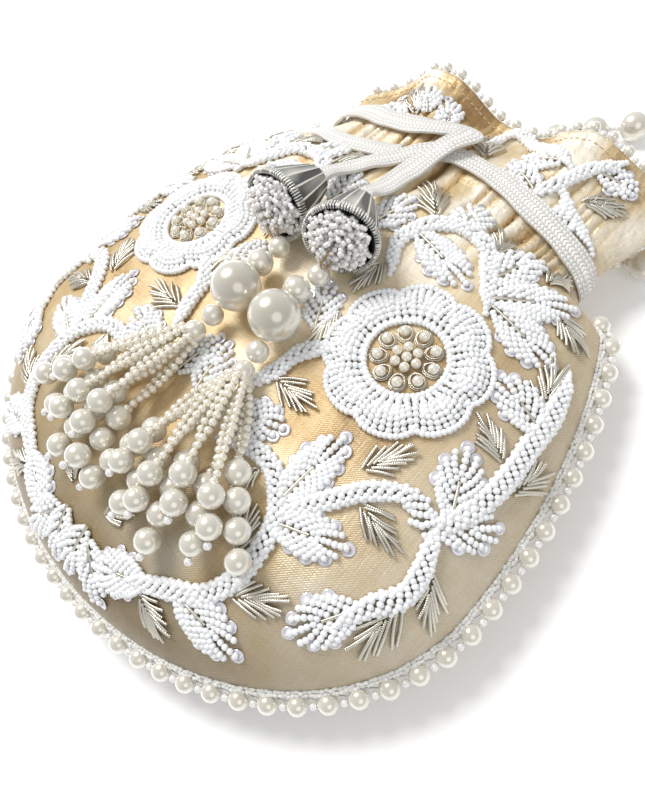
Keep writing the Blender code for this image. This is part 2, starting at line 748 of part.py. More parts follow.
def strands(name, root, fan):
    """A fan of seed-bead chains, each ending in three pearls."""
    middle = math.radians((fan[0] + fan[-1]) / 2)
    for index, degrees in enumerate(fan):
        heading = Vector((math.cos(math.radians(degrees)), math.sin(math.radians(degrees))))
        length = STRAND_LENGTH + (STRAND_STAGGER if index % 2 else 0.0)
        radius = STRAND_PEARL / 2
        centres = []
        radii = []
        arc = math.pi * index / (len(fan) - 1)
        sideways = Vector((math.sin(middle), -math.cos(middle))) * CHAIN_SPREAD * math.cos(arc)
        ahead = Vector((math.cos(middle), math.sin(middle))) * CHAIN_LEAD + sideways
        rise = CHAIN_SPREAD * (math.sin(arc) - 0.5)
        start = root + Vector((*ahead, rise)).normalized() * (LOWER_PEARL / 2 + GAP)
        first_reach = length - (STRAND_PEARLS - 1) * STRAND_PEARL_PITCH
        first_at = Vector(root[:2]) + heading * first_reach
        first = resting(first_at.x, first_at.y, radius)
        run = first - start
        chain = run.length - radius - GAP
        seeds = round(chain / CHAIN_SEED_PITCH)
        for seed in range(seeds):
            centres.append(start + run.normalized() * (CHAIN_SEED / 2 + seed * chain / seeds))
            radii.append(CHAIN_SEED / 2)
        for pearl_index in range(STRAND_PEARLS):
            reach = first_reach + pearl_index * STRAND_PEARL_PITCH
            at = Vector(root[:2]) + heading * reach
            centres.append(resting(at.x, at.y, radius))
            radii.append(radius)
        bead_string("strand_%s_%d" % (name, index + 1), centres, radii, EDGING_THREAD, 6, pearl)


def handle():
    """The pearl handle, from under one side of the frill to under the other."""
    route = curve_through([Vector((x, y, 0)) * MM for x, y in HANDLE_ROUTE])
    centres = spaced(route, HANDLE_PITCH)
    for centre in centres:
        centre.z = HANDLE_PEARL / 2 + GAP
    for end in (centres[0], centres[-1]):
        end.z = cloth_under(end.x, end.y) - HANDLE_END_BEAD / 2 - GAP
    small = [HANDLE_END_BEAD / 2] * HANDLE_END_BEADS
    end_share = [1.0 / HANDLE_END_BEADS * index for index in range(HANDLE_END_BEADS)]
    head = [centres[0].lerp(centres[1], share) for share in end_share]
    tail = [centres[-2].lerp(centres[-1], 1 - share) for share in reversed(end_share)]
    body = centres[2:-2]
    radii = small + [HANDLE_PEARL / 2] * len(body) + small
    bead_string("handle_strand", head + body + tail, radii, HANDLE_THREAD, 6, pearl)


for leftover in list(bpy.data.objects):
    bpy.data.objects.remove(leftover)

parts = bpy.data.collections.new("potli_bag")
bpy.context.scene.collection.children.link(parts)

silk = colour("champagne_silk", (0.78, 0.62, 0.40), 0.45)
seed_bead = colour("white_seed_bead", (0.88, 0.90, 0.94), 0.25)
clear_bead = colour("clear_seed_bead", (0.80, 0.79, 0.78), 0.2)
pearl = colour("cream_pearl", (0.86, 0.82, 0.74), 0.18)
zari = colour("silver_zari", (0.42, 0.43, 0.42), 0.35, 0.8)
braid = colour("ivory_braid", (0.86, 0.84, 0.80), 0.6)

bag_cloth()
rim_edging()
hem_edging()
for side, name in ((1, "right"), (-1, "left")):
    flower(side, name)
    scroll_leaves = SCROLL_LEAVES + CURL_LEAVES + LOWER_LEAVES
    vine("scroll_vine_" + name, (SCROLL_VINE, CURL_VINE, LOWER_VINE), scroll_leaves, side)
    vine("arch_vine_" + name, (ARCH_VINE,), ARCH_LEAVES, side)
front_ribbon("drawstring_right", 1, RIGHT_END_ROUTE, LEFT_TASSEL)
front_ribbon("drawstring_left", -1, LEFT_END_ROUTE, RIGHT_TASSEL)
back_ribbon()
tassel("left", LEFT_TASSEL)
tassel("right", RIGHT_TASSEL)
handle()
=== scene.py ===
"""Potli bag, dressed: champagne silk, seed-bead embroidery, pearls, metal thread and braid.

Metres, +Z up. X runs across the bag and Y from its round bottom towards neck and frill.
The bag lies on its back with the embroidered front upwards.
"""

import math
import random

import bmesh
import bpy
from mathutils import Matrix, Vector, noise
from mathutils.bvhtree import BVHTree


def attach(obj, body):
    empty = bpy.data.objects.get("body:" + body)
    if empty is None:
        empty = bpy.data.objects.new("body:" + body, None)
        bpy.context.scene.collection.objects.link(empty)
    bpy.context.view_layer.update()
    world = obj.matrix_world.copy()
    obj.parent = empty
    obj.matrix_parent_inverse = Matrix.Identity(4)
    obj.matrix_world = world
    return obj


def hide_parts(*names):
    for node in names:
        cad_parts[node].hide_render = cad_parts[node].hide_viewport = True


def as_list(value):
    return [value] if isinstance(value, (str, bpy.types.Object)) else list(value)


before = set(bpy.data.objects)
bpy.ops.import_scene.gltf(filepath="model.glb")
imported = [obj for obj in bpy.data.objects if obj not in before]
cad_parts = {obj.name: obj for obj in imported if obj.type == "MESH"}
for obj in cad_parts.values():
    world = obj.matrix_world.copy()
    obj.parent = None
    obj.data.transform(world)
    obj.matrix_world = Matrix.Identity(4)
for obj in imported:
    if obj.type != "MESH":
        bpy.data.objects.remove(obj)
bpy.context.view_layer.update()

MM = 0.001

# The pouch, neck and frill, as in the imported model
POUCH_HALF_WIDTH = 0.095
POUCH_BELOW = 0.071
POUCH_HEIGHT = 0.042
SEAM_HEIGHT = 0.016
PUFF_POWER = 2.9
PUFF_ROUNDING = 0.6
FLAT_SHARE = 0.72
NECK_AT = 0.104
NECK_HALF_WIDTH = 0.062
NECK_CROWN = 0.031
NECK_BELLY = 0.0055
NECK_SEAM_HEIGHT = 0.0165
NECK_SKEW = 0.10
NECK_BOW = 0.006
NECK_STARTS = 0.080
NECK_LEFT_SHARE = 0.81
FRILL_LEFT_SHARE = 0.70
PLEAT_DEPTH = 0.0011
PLEAT_REACH_BELOW = 0.013
PLEAT_REACH_ABOVE = 0.010
FRILL_LENGTH = 0.031
FRILL_HALF_WIDTH = 0.073
FRILL_FRONT_HEIGHT = 0.0225
FRILL_BACK_HEIGHT = 0.0125
FRILL_LIFTS_WITHIN = 0.013
FRILL_CORNER_AT = 0.025
FRILL_CORNER_REACH = 0.025
FRILL_CORNER_DROP = 0.012
FRILL_SEAM_HEIGHT = 0.0185
FOLD_DEPTH = 0.0065
FOLD_PITCH = 0.060
FOLD_CREST_AT = -0.020
BACK_FOLD_DEPTH = 0.0008
CLOTH_WALL = 0.0012
MOUTH_DEPTH = 0.023
POUCH_ABOVE = NECK_AT / math.sqrt(1 - (NECK_HALF_WIDTH / POUCH_HALF_WIDTH) ** 2)
HEM_AT = NECK_AT + FRILL_LENGTH
GAP = 0.0003

# Fine form of the cloth
AROUND_FRONT = 300
AROUND_BACK = 110
GATHERS = 25
GATHER_DEPTH = 0.0030
GATHER_BELOW = 0.019
GATHER_ABOVE = 0.013
GATHER_LEAN = 0.030
LONG_FOLD_SHARE = 0.34
LONG_FOLD_REACH = 2.4
CHANNEL_WIDTH = 0.0050
CHANNEL_PRESS = 0.6
SLACK_DEPTH = 0.00070
SMALL_SLACK_DEPTH = 0.00030
FINE_CREASE_DEPTH = 0.00045
RIPPLE_DEPTH = 0.0032
RIPPLES_START = 0.004
HEM_ROLL = 0.0012
HEM_ROLL_REACH = 0.006
# Fold height spanned by the silk's painted shade and painted light.
FOLD_RANGE = 0.0036

# Embroidery
RELIEF_HEIGHT = 0.0021
FLOWER_X = 0.0455
FLOWER_Y = 0.0385
FLOWER_RADIUS = 0.0225
FLOWER_PETALS = 8
SEED_WIDTH = 0.0020
SEED_PITCH = 0.00138
TUBE_WIDTH = 0.0010
SEQUIN_WIDTH = 0.0038
SEQUIN_SIDES = 14
THREAD_LIFT = 0.0008
MIDRIB_LIFT = 0.0011
EYE_LIFT = 0.0015

# Stitched rows, with lengths in millimetres
ROPE_PITCH = 2.35
ROPE_SLANT = ((2.1, 3.7), (1.5, 1.2))
FRILL_VINE_SIZE = 0.72
LEAF_WIDTH = 5.2
FRILL_LEAF_WIDTH = 4.4
LEAF_ROW_PITCH = 3.7
SPRIG_TUBES = 11
PETAL_ROWS = 9
PETAL_STARTS = (12.2, 14.3)
PETAL_NOTCH = 2.9
PETAL_MARGIN = 1.5
EYE_RING = 11.2
EYE_PEARLS = 9
EYE_PEARL = 3.1
EYE_PEARLS_AT = 7.7
INNER_PEARLS = 6
INNER_PEARL = 2.9
INNER_PEARLS_AT = 3.15
EYE_WIRE = 0.5

# Edgings
RIM_PEARL = 0.0058
RIM_PEARL_PITCH = 0.0082
RIM_OVERHANG = 0.0030
RIM_DROP = 0.0018
RIM_ENDS_AT = 0.090
RIM_CLEAR_BEAD = 0.0022
LACE_BEAD = 0.0013
LACE_PITCH = 0.00115
HEM_PEARL = 0.0036
HEM_PEARL_PITCH = 0.0066
HEM_OVERHANG = 0.0022
HEM_CLEAR_BEAD = 0.0021
HEM_STITCHES_AT = 0.0032

# Drawstring
RIBBON_WIDTH = 0.0080
RIBBON_THICKNESS = 0.0010
RIBBON_FACET = 0.0050
RIBBON_CLEARANCE = 0.0007
RIBBON_REACH = 0.90
NECK_RIBBON_RISE = 0.0035
BACK_SEGMENTS = 18
BRAID_SIDES = 32
BRAID_COLUMNS = 5
BRAID_STITCH = 0.0013
BRAID_BODY = 0.0015
HANGING_BODY = 0.00155
BRAID_END_BODY = 0.0021
BRAID_END_SHARE = 0.66
BRAID_END_REACH = 0.016
BRAID_SWELL_REACH = 0.014

# Tassels
CONE_LENGTH = 0.019
CONE_MOUTH_RADIUS = 0.0108
CONE_TOP_RADIUS = 0.0050
CONE_WALL = 0.0008
CONE_RIBS = 16
CONE_RIDGE = 0.00032
CONE_SHOULDER = 0.95
CONE_HOLLOW = 0.88
OVERCAST_STITCHES = 84
TUFT_SET_IN = 0.001
TUFT_LOOPS = 64
TUFT_ROOT_SPREAD = 0.0042
TUFT_BEAD = 0.0017
TUFT_WIRE = 0.00075
FIRST_PEARL = 0.0066
SECOND_PEARL = 0.0080
BIG_PEARL = 0.0145
LOWER_PEARL = 0.0065
PEARL_SIZES = {
    "first": FIRST_PEARL, "second": SECOND_PEARL, "big": BIG_PEARL,
    "third": LOWER_PEARL, "fourth": LOWER_PEARL,
}
STRAND_PEARL = 0.0070
STRAND_PEARLS = 3
STRAND_PEARL_PITCH = 0.0078
STRAND_STAGGER = 0.0038
STRAND_LENGTH = 0.042
STRAND_SLACK = 0.0020
TOUCHING_PITCH = 0.0072
CHAIN_SEED = 0.0023
CHAIN_SEED_PITCH = 0.0021
CHAIN_SPREAD = 0.0027
CHAIN_LEAD = 0.0022
STOP_BEAD = 0.0023
TASSEL_FLOOR = RELIEF_HEIGHT + 2 * GAP

# Handle
HANDLE_PEARL = 0.0100
HANDLE_PITCH = 0.0130
HANDLE_END_BEAD = 0.0044
HANDLE_CLEAR_BEAD = 0.0021
NET_PEARL = 0.0026
NET_ENDS_AT = 5

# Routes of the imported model's cords, in millimetres
RIGHT_END_ROUTE = (
    (25, 104.6, 1.0), (16, 105.2, 1.0), (8.5, 105.4, 1.0), (1.5, 103.6, 1.0), (-4.4, 99.6, 1.0),
    (-7.8, 94.2, 1.0), (-10.8, 88, 1.3), (-13, 80, 2.4),
)
LEFT_END_ROUTE = (
    (-25, 108.4, 1.0), (-14.5, 109.6, 1.0), (-5, 112, 2.2), (2.4, 113.8, 4.2), (6.6, 111.4, 5.6),
    (6.0, 106.4, 5.2), (3.6, 100.8, 4.4), (2.2, 94.6, 3.2), (1.8, 87.5, 2.0), (2.8, 79, 2.8),
)
SECOND_TURN_AT = 0.096
SECOND_TURN_ROUTE = (
    (-41, 93.5, 1.2), (-33, 91.8, 1.3), (-25, 92.3, 1.2), (-16.5, 94.4, 1.0), (-9, 97.5, 0.5),
)
LEFT_TASSEL = {
    "apex": (-13.4, 68.5), "mouth": (-11.4, 50.0),
    "first": (-4.4, 41.5), "second": (-5.8, 34.3), "big": (-2.4, 21.6),
    "third": (-5.9, 11.7), "fourth": (-6.1, 5.3), "fan": (229, 244, 259, 273),
}
RIGHT_TASSEL = {
    "apex": (4.2, 69.9), "mouth": (14.2, 51.2),
    "first": (11.2, 39.0), "second": (9.7, 30.5), "big": (15.5, 17.6),
    "third": (15.9, 7.1), "fourth": (17.3, 0.5), "fan": (253, 268, 283, 298, 313),
}
HANDLE_ROUTE = (
    (-36, 112), (-33, 119), (-23, 128), (-8, 135.6), (5, 141.5), (17.3, 150.6), (25.8, 158.6),
    (36, 165.8), (51, 173), (71, 177), (92, 173), (104, 160), (104, 144), (94, 131), (79, 122),
    (66, 117), (56, 111), (47, 104),
)

# Embroidery of the right half, in millimetres. The left half mirrors it
VINES = {
    "scroll": (
        ((79, 61), (81, 52), (82, 42), (83, 30), (82, 19), (78, 9), (70, 10), (62, 5), (55, -4), (49, -12)),
        ((80, 7), (82, -1), (82, -9), (78, -16), (75, -22)),
        ((24, -8), (33, -6), (41, -8), (48, -16), (50, -26), (49, -34), (44, -42), (36, -47), (27, -51)),
    ),
    "arch": (
        ((22, 59), (19, 67), (22, 76), (31, 81), (40, 79), (46, 72), (50, 65)),
    ),
    "centre": (
        ((28, 28), (22, 22), (20, 15), (17, 8)),
    ),
}
LEAVES = {
    "scroll": (
        ((83, 45), (66, 51)), ((80, 12), (72, 30)), ((78, 8), (89, 20)), ((77, -17), (67, -34)),
        ((46, -12), (48, 12)), ((47, -17), (67, -9)), ((38, -46), (60, -47)), ((31, -50), (12, -58)),
        ((18, -2), (34, 3)),
    ),
    "arch": (
        ((31, 79), (27, 93)), ((21, 72), (44, 66)), ((47, 70), (52, 89)), ((50, 66), (68, 81)),
        ((53, 65), (74, 62)),
    ),
    "centre": (
        ((5, -52), (3, -66)), ((7, -54), (19, -65)), ((8, 66), (12, 82)), ((20, 30), (12, 44)),
        ((5, -4), (2, 12)),
    ),
}
SPRIGS = (
    ((22, 80), (8, 92)), ((44, 77), (38, 91)), ((58, 82), (59, 92)), ((65, 76), (78, 71)),
    ((79, 51), (73, 67)), ((80, 33), (68, 39)), ((86, 28), (88, 42)), ((57, 8), (64, 22)),
    ((62, 1), (77, -2)), ((84, 0), (91, -12)), ((83, -10), (81, -29)), ((51, -37), (65, -28)),
    ((46, -28), (40, -14)), ((36, -9), (33, -18)), ((30, -54), (43, -57)), ((22, 12), (38, 12)),
    ((20, 58), (19, 45)), ((21, 38), (22, 25)), ((8, -46), (16, -38)),
)

# Embroidery of the frill, in millimetres, before its left side is drawn in
FRILL_VINES = (
    ((7.7, 123.5), (8.5, 130.5), (13, 132.5), (23, 127.5), (31.5, 124), (36.6, 120.9)),
    ((36.2, 107.6), (39.7, 114), (42.1, 120.4), (45.2, 125.9), (47.7, 129.5)),
    ((43, 111.5), (47, 108.2), (51.5, 105.6), (55.5, 103.2)),
)
FRILL_LEAVES = (
    ((35.5, 107), (21.5, 115)), ((35.5, 121), (22, 119)), ((45.5, 124), (57, 128.5)), ((50, 107), (44, 101)),
    ((-8, 115.5), (-17, 128)), ((-26, 111.5), (-40, 114)), ((-20, 118), (-30, 127)),
)
FRILL_SPRIGS = (((48.2, 113.2), (59.4, 120.6)), ((12.5, 113), (3, 127)), ((-22, 114), (-39, 129)))


# The form of the cloth

def smooth(value, start, end):
    """Ease from 0 at start to 1 at end."""
    share = min(1.0, max(0.0, (value - start) / (end - start)))
    return share * share * (3 - 2 * share)


def mix(first, second, share):
    return first + (second - first) * share


def side_share(x, station):
    """How wide the side of x is against the right one: the left is drawn in more."""
    if x >= 0 or station <= NECK_STARTS:
        return 1.0
    drawn = mix(1.0, NECK_LEFT_SHARE, smooth(station, NECK_STARTS, NECK_AT))
    return mix(drawn, FRILL_LEFT_SHARE, smooth(station, NECK_AT, HEM_AT))


def half_width(x, station):
    """Width of the bag at a station from its middle to the seam on the side of x."""
    if station <= NECK_AT:
        semi = POUCH_BELOW if station < 0 else POUCH_ABOVE
        width = POUCH_HALF_WIDTH * math.sqrt(max(0.0, 1 - (station / semi) ** 2))
    else:
        width = mix(NECK_HALF_WIDTH, FRILL_HALF_WIDTH, smooth(station, NECK_AT, HEM_AT))
    return width * side_share(x, station)


def neck_line(x, station):
    """How far the cloth at x is drawn down by the tilted, bowed neck."""
    share = smooth(station, NECK_STARTS, NECK_AT)
    beyond = smooth(station, NECK_AT, HEM_AT)
    corner = max(0.0, -x - FRILL_CORNER_AT) / FRILL_CORNER_REACH
    rounded = FRILL_CORNER_DROP * corner ** 2 * beyond
    if x > 0:
        share *= 1 - beyond
    return -share * (NECK_SKEW * x + NECK_BOW * (x / NECK_HALF_WIDTH) ** 2) - rounded


def spread(x, station):
    """Distance from the middle of the pouch to its seam, as 0 to 1."""
    semi = POUCH_BELOW if station < 0 else POUCH_ABOVE
    return min(1.0, math.hypot(x / (POUCH_HALF_WIDTH * side_share(x, station)), station / semi))


def across(x, station):
    return min(1.0, abs(x) / max(half_width(x, station), 1e-6))


def pleat_height(station):
    """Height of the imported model's pleats, which everything on the neck clears."""
    if station <= NECK_STARTS:
        return 0.0
    reach = PLEAT_REACH_BELOW if station < NECK_AT else PLEAT_REACH_ABOVE
    return PLEAT_DEPTH * math.exp(-((station - NECK_AT) / reach) ** 2)


def seam_height(station):
    drawn = mix(SEAM_HEIGHT, NECK_SEAM_HEIGHT, smooth(station, NECK_STARTS, NECK_AT))
    return mix(drawn, FRILL_SEAM_HEIGHT, smooth(station, NECK_AT, HEM_AT))


def front_height(x, station):
    """Height of the upper cloth, without its small folds."""
    puff = (1 - spread(x, station) ** PUFF_POWER) ** PUFF_ROUNDING
    pouch = SEAM_HEIGHT + (POUCH_HEIGHT - SEAM_HEIGHT) * puff
    if station <= NECK_STARTS:
        return pouch
    seam = seam_height(station)
    crown = mix(NECK_CROWN, FRILL_FRONT_HEIGHT, smooth(station, NECK_AT, HEM_AT))
    share = across(x, station)
    drawn = seam + (crown - seam) * (1 - share ** PUFF_POWER) ** PUFF_ROUNDING
    fold = math.cos(2 * math.pi * (x - FOLD_CREST_AT) / FOLD_PITCH) * (1 - share ** 4)
    drawn += FOLD_DEPTH * fold * smooth(station, NECK_AT, HEM_AT)
    return mix(pouch, drawn, smooth(station, NECK_STARTS, NECK_AT))


def back_height(x, station):
    """Height of the lower cloth: flat where the bag lies, lifted under the frill."""
    outer = max(0.0, (spread(x, station) - FLAT_SHARE) / (1 - FLAT_SHARE))
    pouch = SEAM_HEIGHT * (1 - math.sqrt(max(0.0, 1 - outer ** 2)))
    if station <= NECK_STARTS:
        return pouch
    seam = seam_height(station)
    belly = mix(NECK_BELLY, FRILL_BACK_HEIGHT, smooth(station, NECK_AT, NECK_AT + FRILL_LIFTS_WITHIN))
    share = across(x, station)
    drawn = seam - (seam - belly) * (1 - share ** PUFF_POWER) ** PUFF_ROUNDING
    fold = math.cos(2 * math.pi * (x - FOLD_CREST_AT) / FOLD_PITCH) * (1 - share ** 4)
    drawn += BACK_FOLD_DEPTH * fold * smooth(station, NECK_AT, HEM_AT)
    return mix(pouch, drawn, smooth(station, NECK_STARTS, NECK_AT))


def station_at(x, y):
    """The station whose ring passes through a point of the plan."""
    station = y
    for _ in range(14):
        station = y - neck_line(x, station)
    return station


def plain_top(x, y):
    """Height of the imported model's upper cloth over a point of the plan."""
    station = station_at(x, y)
    return front_height(x, station) + pleat_height(station)


def plain_under(x, y):
    station = station_at(x, y)
    return back_height(x, station) - pleat_height(station)


def plain_normal(x, y, height=plain_top):
    step = 0.5 * MM
    slope_x = (height(x + step, y) - height(x - step, y)) / (2 * step)
    slope_y = (height(x, y + step) - height(x, y - step)) / (2 * step)
    return Vector((-slope_x, -slope_y, 1)).normalized()


def on_plain(x, y, lift):
    return Vector((x, y, plain_top(x, y))) + plain_normal(x, y) * lift


def gathers(x, station):
    """Small folds that the drawstring pulls into the cloth, round-topped with sharp valleys."""
    reach = GATHER_BELOW if station < NECK_AT else GATHER_ABOVE
    share = x / NECK_HALF_WIDTH
    wander = 0.9 * math.sin(6.3 * share + 0.8)
    wander += 0.42 * math.sin(15.1 * share) + 0.2 * math.sin(31.7 * share)
    drift = (station - NECK_AT) / GATHER_LEAN
    turn = GATHERS * share / 2 + wander + 0.25 * math.sin(3 * share + 2) * drift
    fold = abs(math.cos(math.pi * turn)) ** 0.6 - 0.70
    depth = GATHER_DEPTH * (0.70 + 0.22 * math.sin(9.7 * share + 1.3) + 0.22 * math.sin(23.1 * share))
    strength = math.exp(-((station - NECK_AT) / reach) ** 2)
    long_fold = LONG_FOLD_SHARE * math.exp(-((station - NECK_AT) / (LONG_FOLD_REACH * reach)) ** 2)
    channel = math.exp(-((station - NECK_AT - NECK_RIBBON_RISE) / CHANNEL_WIDTH) ** 2)
    pressed = 1 - CHANNEL_PRESS * channel
    return depth * fold * (strength + long_fold) * pressed


def softness(x, station, side):
    """The cloth's own unevenness: slack between stitches, and creases of the frill."""
    place = Vector((x * 34, station * 34, 3.0 * side))
    slack = SLACK_DEPTH * noise.noise(place) + SMALL_SLACK_DEPTH * noise.noise(place * 2.7)
    fine = 1 - abs(noise.noise(Vector((x * 75 + 5, station * 60, 2.0 + side))))
    slack += FINE_CREASE_DEPTH * (fine - 0.8)
    lift = smooth(station, NECK_AT + RIPPLES_START, HEM_AT)
    ripple = noise.noise(Vector((x * 62, station * 26, 9.0 + side)))
    crease = 1 - abs(noise.noise(Vector((x * 40 + station * 30, station * 18, 4.0 + side))))
    small = 1 - abs(noise.noise(Vector((x * 95 - station * 40, station * 52, 6.0 + side))))
    slack += RIPPLE_DEPTH * lift * (0.7 * ripple + 1.2 * (crease - 0.8) + 0.45 * (small - 0.8))
    return slack


def ring_place(step):
    """Whether a step of a ring is on the front, and the cosine of its turn round the bag."""
    on_front = step < AROUND_FRONT
    turn = step / AROUND_FRONT if on_front else 1 + (step - AROUND_FRONT) / AROUND_BACK
    return on_front, math.cos(math.pi * turn)


def small_folds(step, station):
    """Height of gathers and creases at a step of a ring."""
    on_front, cosine = ring_place(step)
    x = half_width(cosine, station) * cosine
    edge = 1 - across(x, station) ** 4
    if on_front:
        return edge * (gathers(x, station) + softness(x, station, 0))
    lifted = smooth(station, NECK_STARTS, NECK_AT)
    return edge * lifted * (0.5 * gathers(x, station) + softness(x, station, 1))


def cloth_point(step, station, inset=0.0):
    """A point of one closed ring round the bag: front from +X to -X, then the back."""
    on_front, cosine = ring_place(step)
    shape_x = half_width(cosine, station) * cosine
    x = shape_x - inset * cosine
    edge = 1 - across(shape_x, station) ** 4
    if on_front:
        z = front_height(shape_x, station) - inset * min(1.0, 3 * edge)
        z += HEM_ROLL * edge * smooth(station, HEM_AT - HEM_ROLL_REACH, HEM_AT)
    else:
        z = back_height(shape_x, station) + inset * min(1.0, 3 * edge)
    z += small_folds(step, station)
    return Vector((x, station + neck_line(x, station), z))


# Shader and geometry trees

class Value:
    """A node's output. Arithmetic on it adds Math nodes."""

    def __init__(self, graph, socket):
        self.graph = graph
        self.socket = socket

    def maths(self, operation, *others):
        return self.graph.add("ShaderNodeMath", {"operation": operation}, dict(enumerate((self, *others))))

    def __add__(self, other):
        return self.maths("ADD", other)

    def __mul__(self, other):
        return self.maths("MULTIPLY", other)

    def __sub__(self, other):
        return self.maths("SUBTRACT", other)

    def __truediv__(self, other):
        return self.maths("DIVIDE", other)

    def __rsub__(self, other):
        return (self * -1) + other

    def __pow__(self, other):
        return self.maths("POWER", other)

    __radd__ = __add__
    __rmul__ = __mul__

    def wave(self):
        """A sine of the value, as 0 to 1."""
        return self.maths("SINE") * 0.5 + 0.5

    def fraction(self):
        return self.maths("FRACT")

    def size(self):
        return self.maths("ABSOLUTE")

    def limit(self):
        """Keep the value within 0 to 1."""
        self.socket.node.use_clamp = True
        return self


class Graph:
    """Adds nodes to a tree: settings first, then the values or links of the sockets."""

    def __init__(self, tree):
        self.tree = tree

    def node(self, kind, settings=None, inputs=None):
        node = self.tree.nodes.new(kind)
        for key, value in (settings or {}).items():
            if key == "stops":
                marks = node.color_ramp.elements
                for index, (place, shade) in enumerate(value):
                    stop = marks[index] if index < 2 else marks.new(place)
                    stop.position = place
                    stop.color = (*shade, 1)
            else:
                setattr(node, key, value)
        for key, value in (inputs or {}).items():
            if isinstance(value, Value):
                self.tree.links.new(value.socket, node.inputs[key])
            else:
                node.inputs[key].default_value = value
        return node

    def add(self, kind, settings=None, inputs=None, output=0):
        return Value(self, self.node(kind, settings, inputs).outputs[output])


class Finish(Graph):
    """A material with a Principled BSDF."""

    def __init__(self, name, **constants):
        self.material = bpy.data.materials.new(name)
        self.material.use_nodes = True
        super().__init__(self.material.node_tree)
        self.shader = self.tree.nodes["Principled BSDF"]
        for key, value in constants.items():
            self.shader.inputs[key.replace("_", " ").title().replace("Ior", "IOR")].default_value = value

    def feed(self, socket, value):
        self.tree.links.new(value.socket, self.shader.inputs[socket])

    def place(self):
        return self.add("ShaderNodeTexCoord", output="Object")

    def chart(self):
        return self.add("ShaderNodeUVMap", {"uv_map": "chart"})

    def scaled(self, vector, factors):
        return self.add("ShaderNodeVectorMath", {"operation": "MULTIPLY"}, {0: vector, 1: factors})

    def speckle(self, vector, scale, detail=2.0, roughness=0.5):
        return self.add(
            "ShaderNodeTexNoise", None,
            {"Vector": vector, "Scale": scale, "Detail": detail, "Roughness": roughness},
        )

    def blend(self, share, first, second):
        settings = {"data_type": "RGBA"}
        return self.add("ShaderNodeMix", settings, {0: share, 6: first, 7: second}, output=2)

    def ramp(self, value, stops):
        return self.add("ShaderNodeValToRGB", {"stops": stops}, {0: value})

    def parts_of(self, vector):
        node = self.node("ShaderNodeSeparateXYZ", None, {0: vector})
        return [Value(self, output) for output in node.outputs]

    def relief(self, height, distance, strength=1.0):
        bump = self.add(
            "ShaderNodeBump", None, {"Height": height, "Distance": distance, "Strength": strength}
        )
        self.feed("Normal", bump)


def rgba(red, green, blue):
    return (red, green, blue, 1.0)


def silk_finish():
    """Satin-woven dupion with fine slubs: painted shade makes it honey in the hollows, painted light
    champagne on the crests.
    """
    silk = Finish("champagne_silk", metallic=0.22, sheen_weight=0.25, sheen_roughness=0.3, anisotropic=0.4)
    silk.shader.inputs["Sheen Tint"].default_value = rgba(1.0, 0.93, 0.80)
    silk.shader.inputs["Specular IOR Level"].default_value = 0.85
    chart = silk.chart()
    place = silk.place()
    u, v, _ = silk.parts_of(chart)
    slubs = silk.speckle(silk.scaled(chart, (1900, 170, 1)), 1.0, 2.0)
    picks = silk.speckle(silk.scaled(chart, (150, 2300, 1)), 1.0, 1.0)
    twill = ((u + v) * (2 * math.pi / 0.00075)).wave()
    clouds = silk.speckle(place, 26.0, 3.0, 0.55)
    broad = silk.speckle(place, 9.0, 1.0)
    worn = silk.speckle(silk.scaled(chart, (60, 18, 1)), 1.0, 3.0, 0.6)
    fold = silk.add("ShaderNodeAttribute", {"attribute_name": "fold"}, output=2)
    long_crease = silk.speckle(silk.scaled(chart, (95, 48, 1)), 1.0, 2.0, 0.5)
    crumple = silk.speckle(silk.scaled(place, (150, 95, 150)), 1.0, 3.0, 0.5)
    crease = (1 - ((long_crease - 0.5) * 2).size() * 3.0).limit() ** 2
    drawn = ((v - 0.066) * 26.0).limit()
    tone_and_painted_light = clouds * 0.5 + broad * 0.3 + slubs * 0.14 + picks * 0.1 + worn * 0.25
    # Painted shade and light: the tone drops in the valleys of the gathers and along the creases, and rises
    # on the fold crests.
    tone_and_painted_light = tone_and_painted_light * 2.1 - 0.89 + (fold - 0.5) * 1.55 - crease * drawn * 0.10
    colour = silk.ramp(tone_and_painted_light.limit(), (
        (0.03, (0.32, 0.185, 0.065)), (0.25, (0.58, 0.40, 0.18)), (0.50, (0.74, 0.585, 0.345)),
        (0.85, (0.94, 0.865, 0.72)),
    ))
    # Painted shade: darker and browner towards the bottom of the pouch.
    low = ((v * -1 - 0.014) * 21.0).limit()
    bottom_shaded = silk.blend(low * 0.97, colour, rgba(0.18, 0.122, 0.047))
    # Painted shade: greyer and darker on the right side of the bag, except at the bottom.
    right_side_shade = ((silk.parts_of(place)[0] - 0.040) * 22.0).limit() * (1 - low)
    silk.feed("Base Color", silk.blend(right_side_shade * 0.5, bottom_shaded, rgba(0.42, 0.385, 0.325)))
    silk.feed("Roughness", (0.21 + slubs * 0.16 + clouds * 0.18).limit())
    weave = slubs * 0.5 + picks * 0.35 + twill * 0.2
    uneven = clouds * 2.8 + worn * 1.2 + crease * drawn * 1.5 + crumple * (drawn * 8.0 + 0.9)
    silk.relief(weave + uneven, 0.00030, 0.95)
    return silk.material


def seed_finish():
    """Opaque white glass, a little blue in the shade."""
    seed = Finish("white_seed_beads", coat_weight=0.5, coat_roughness=0.12)
    tint = seed.speckle(seed.place(), 420.0, 1.0)
    seed.feed("Base Color", seed.blend(tint, rgba(0.84, 0.85, 0.86), rgba(0.95, 0.955, 0.96)))
    seed.feed("Roughness", 0.16 + tint * 0.2)
    return seed.material


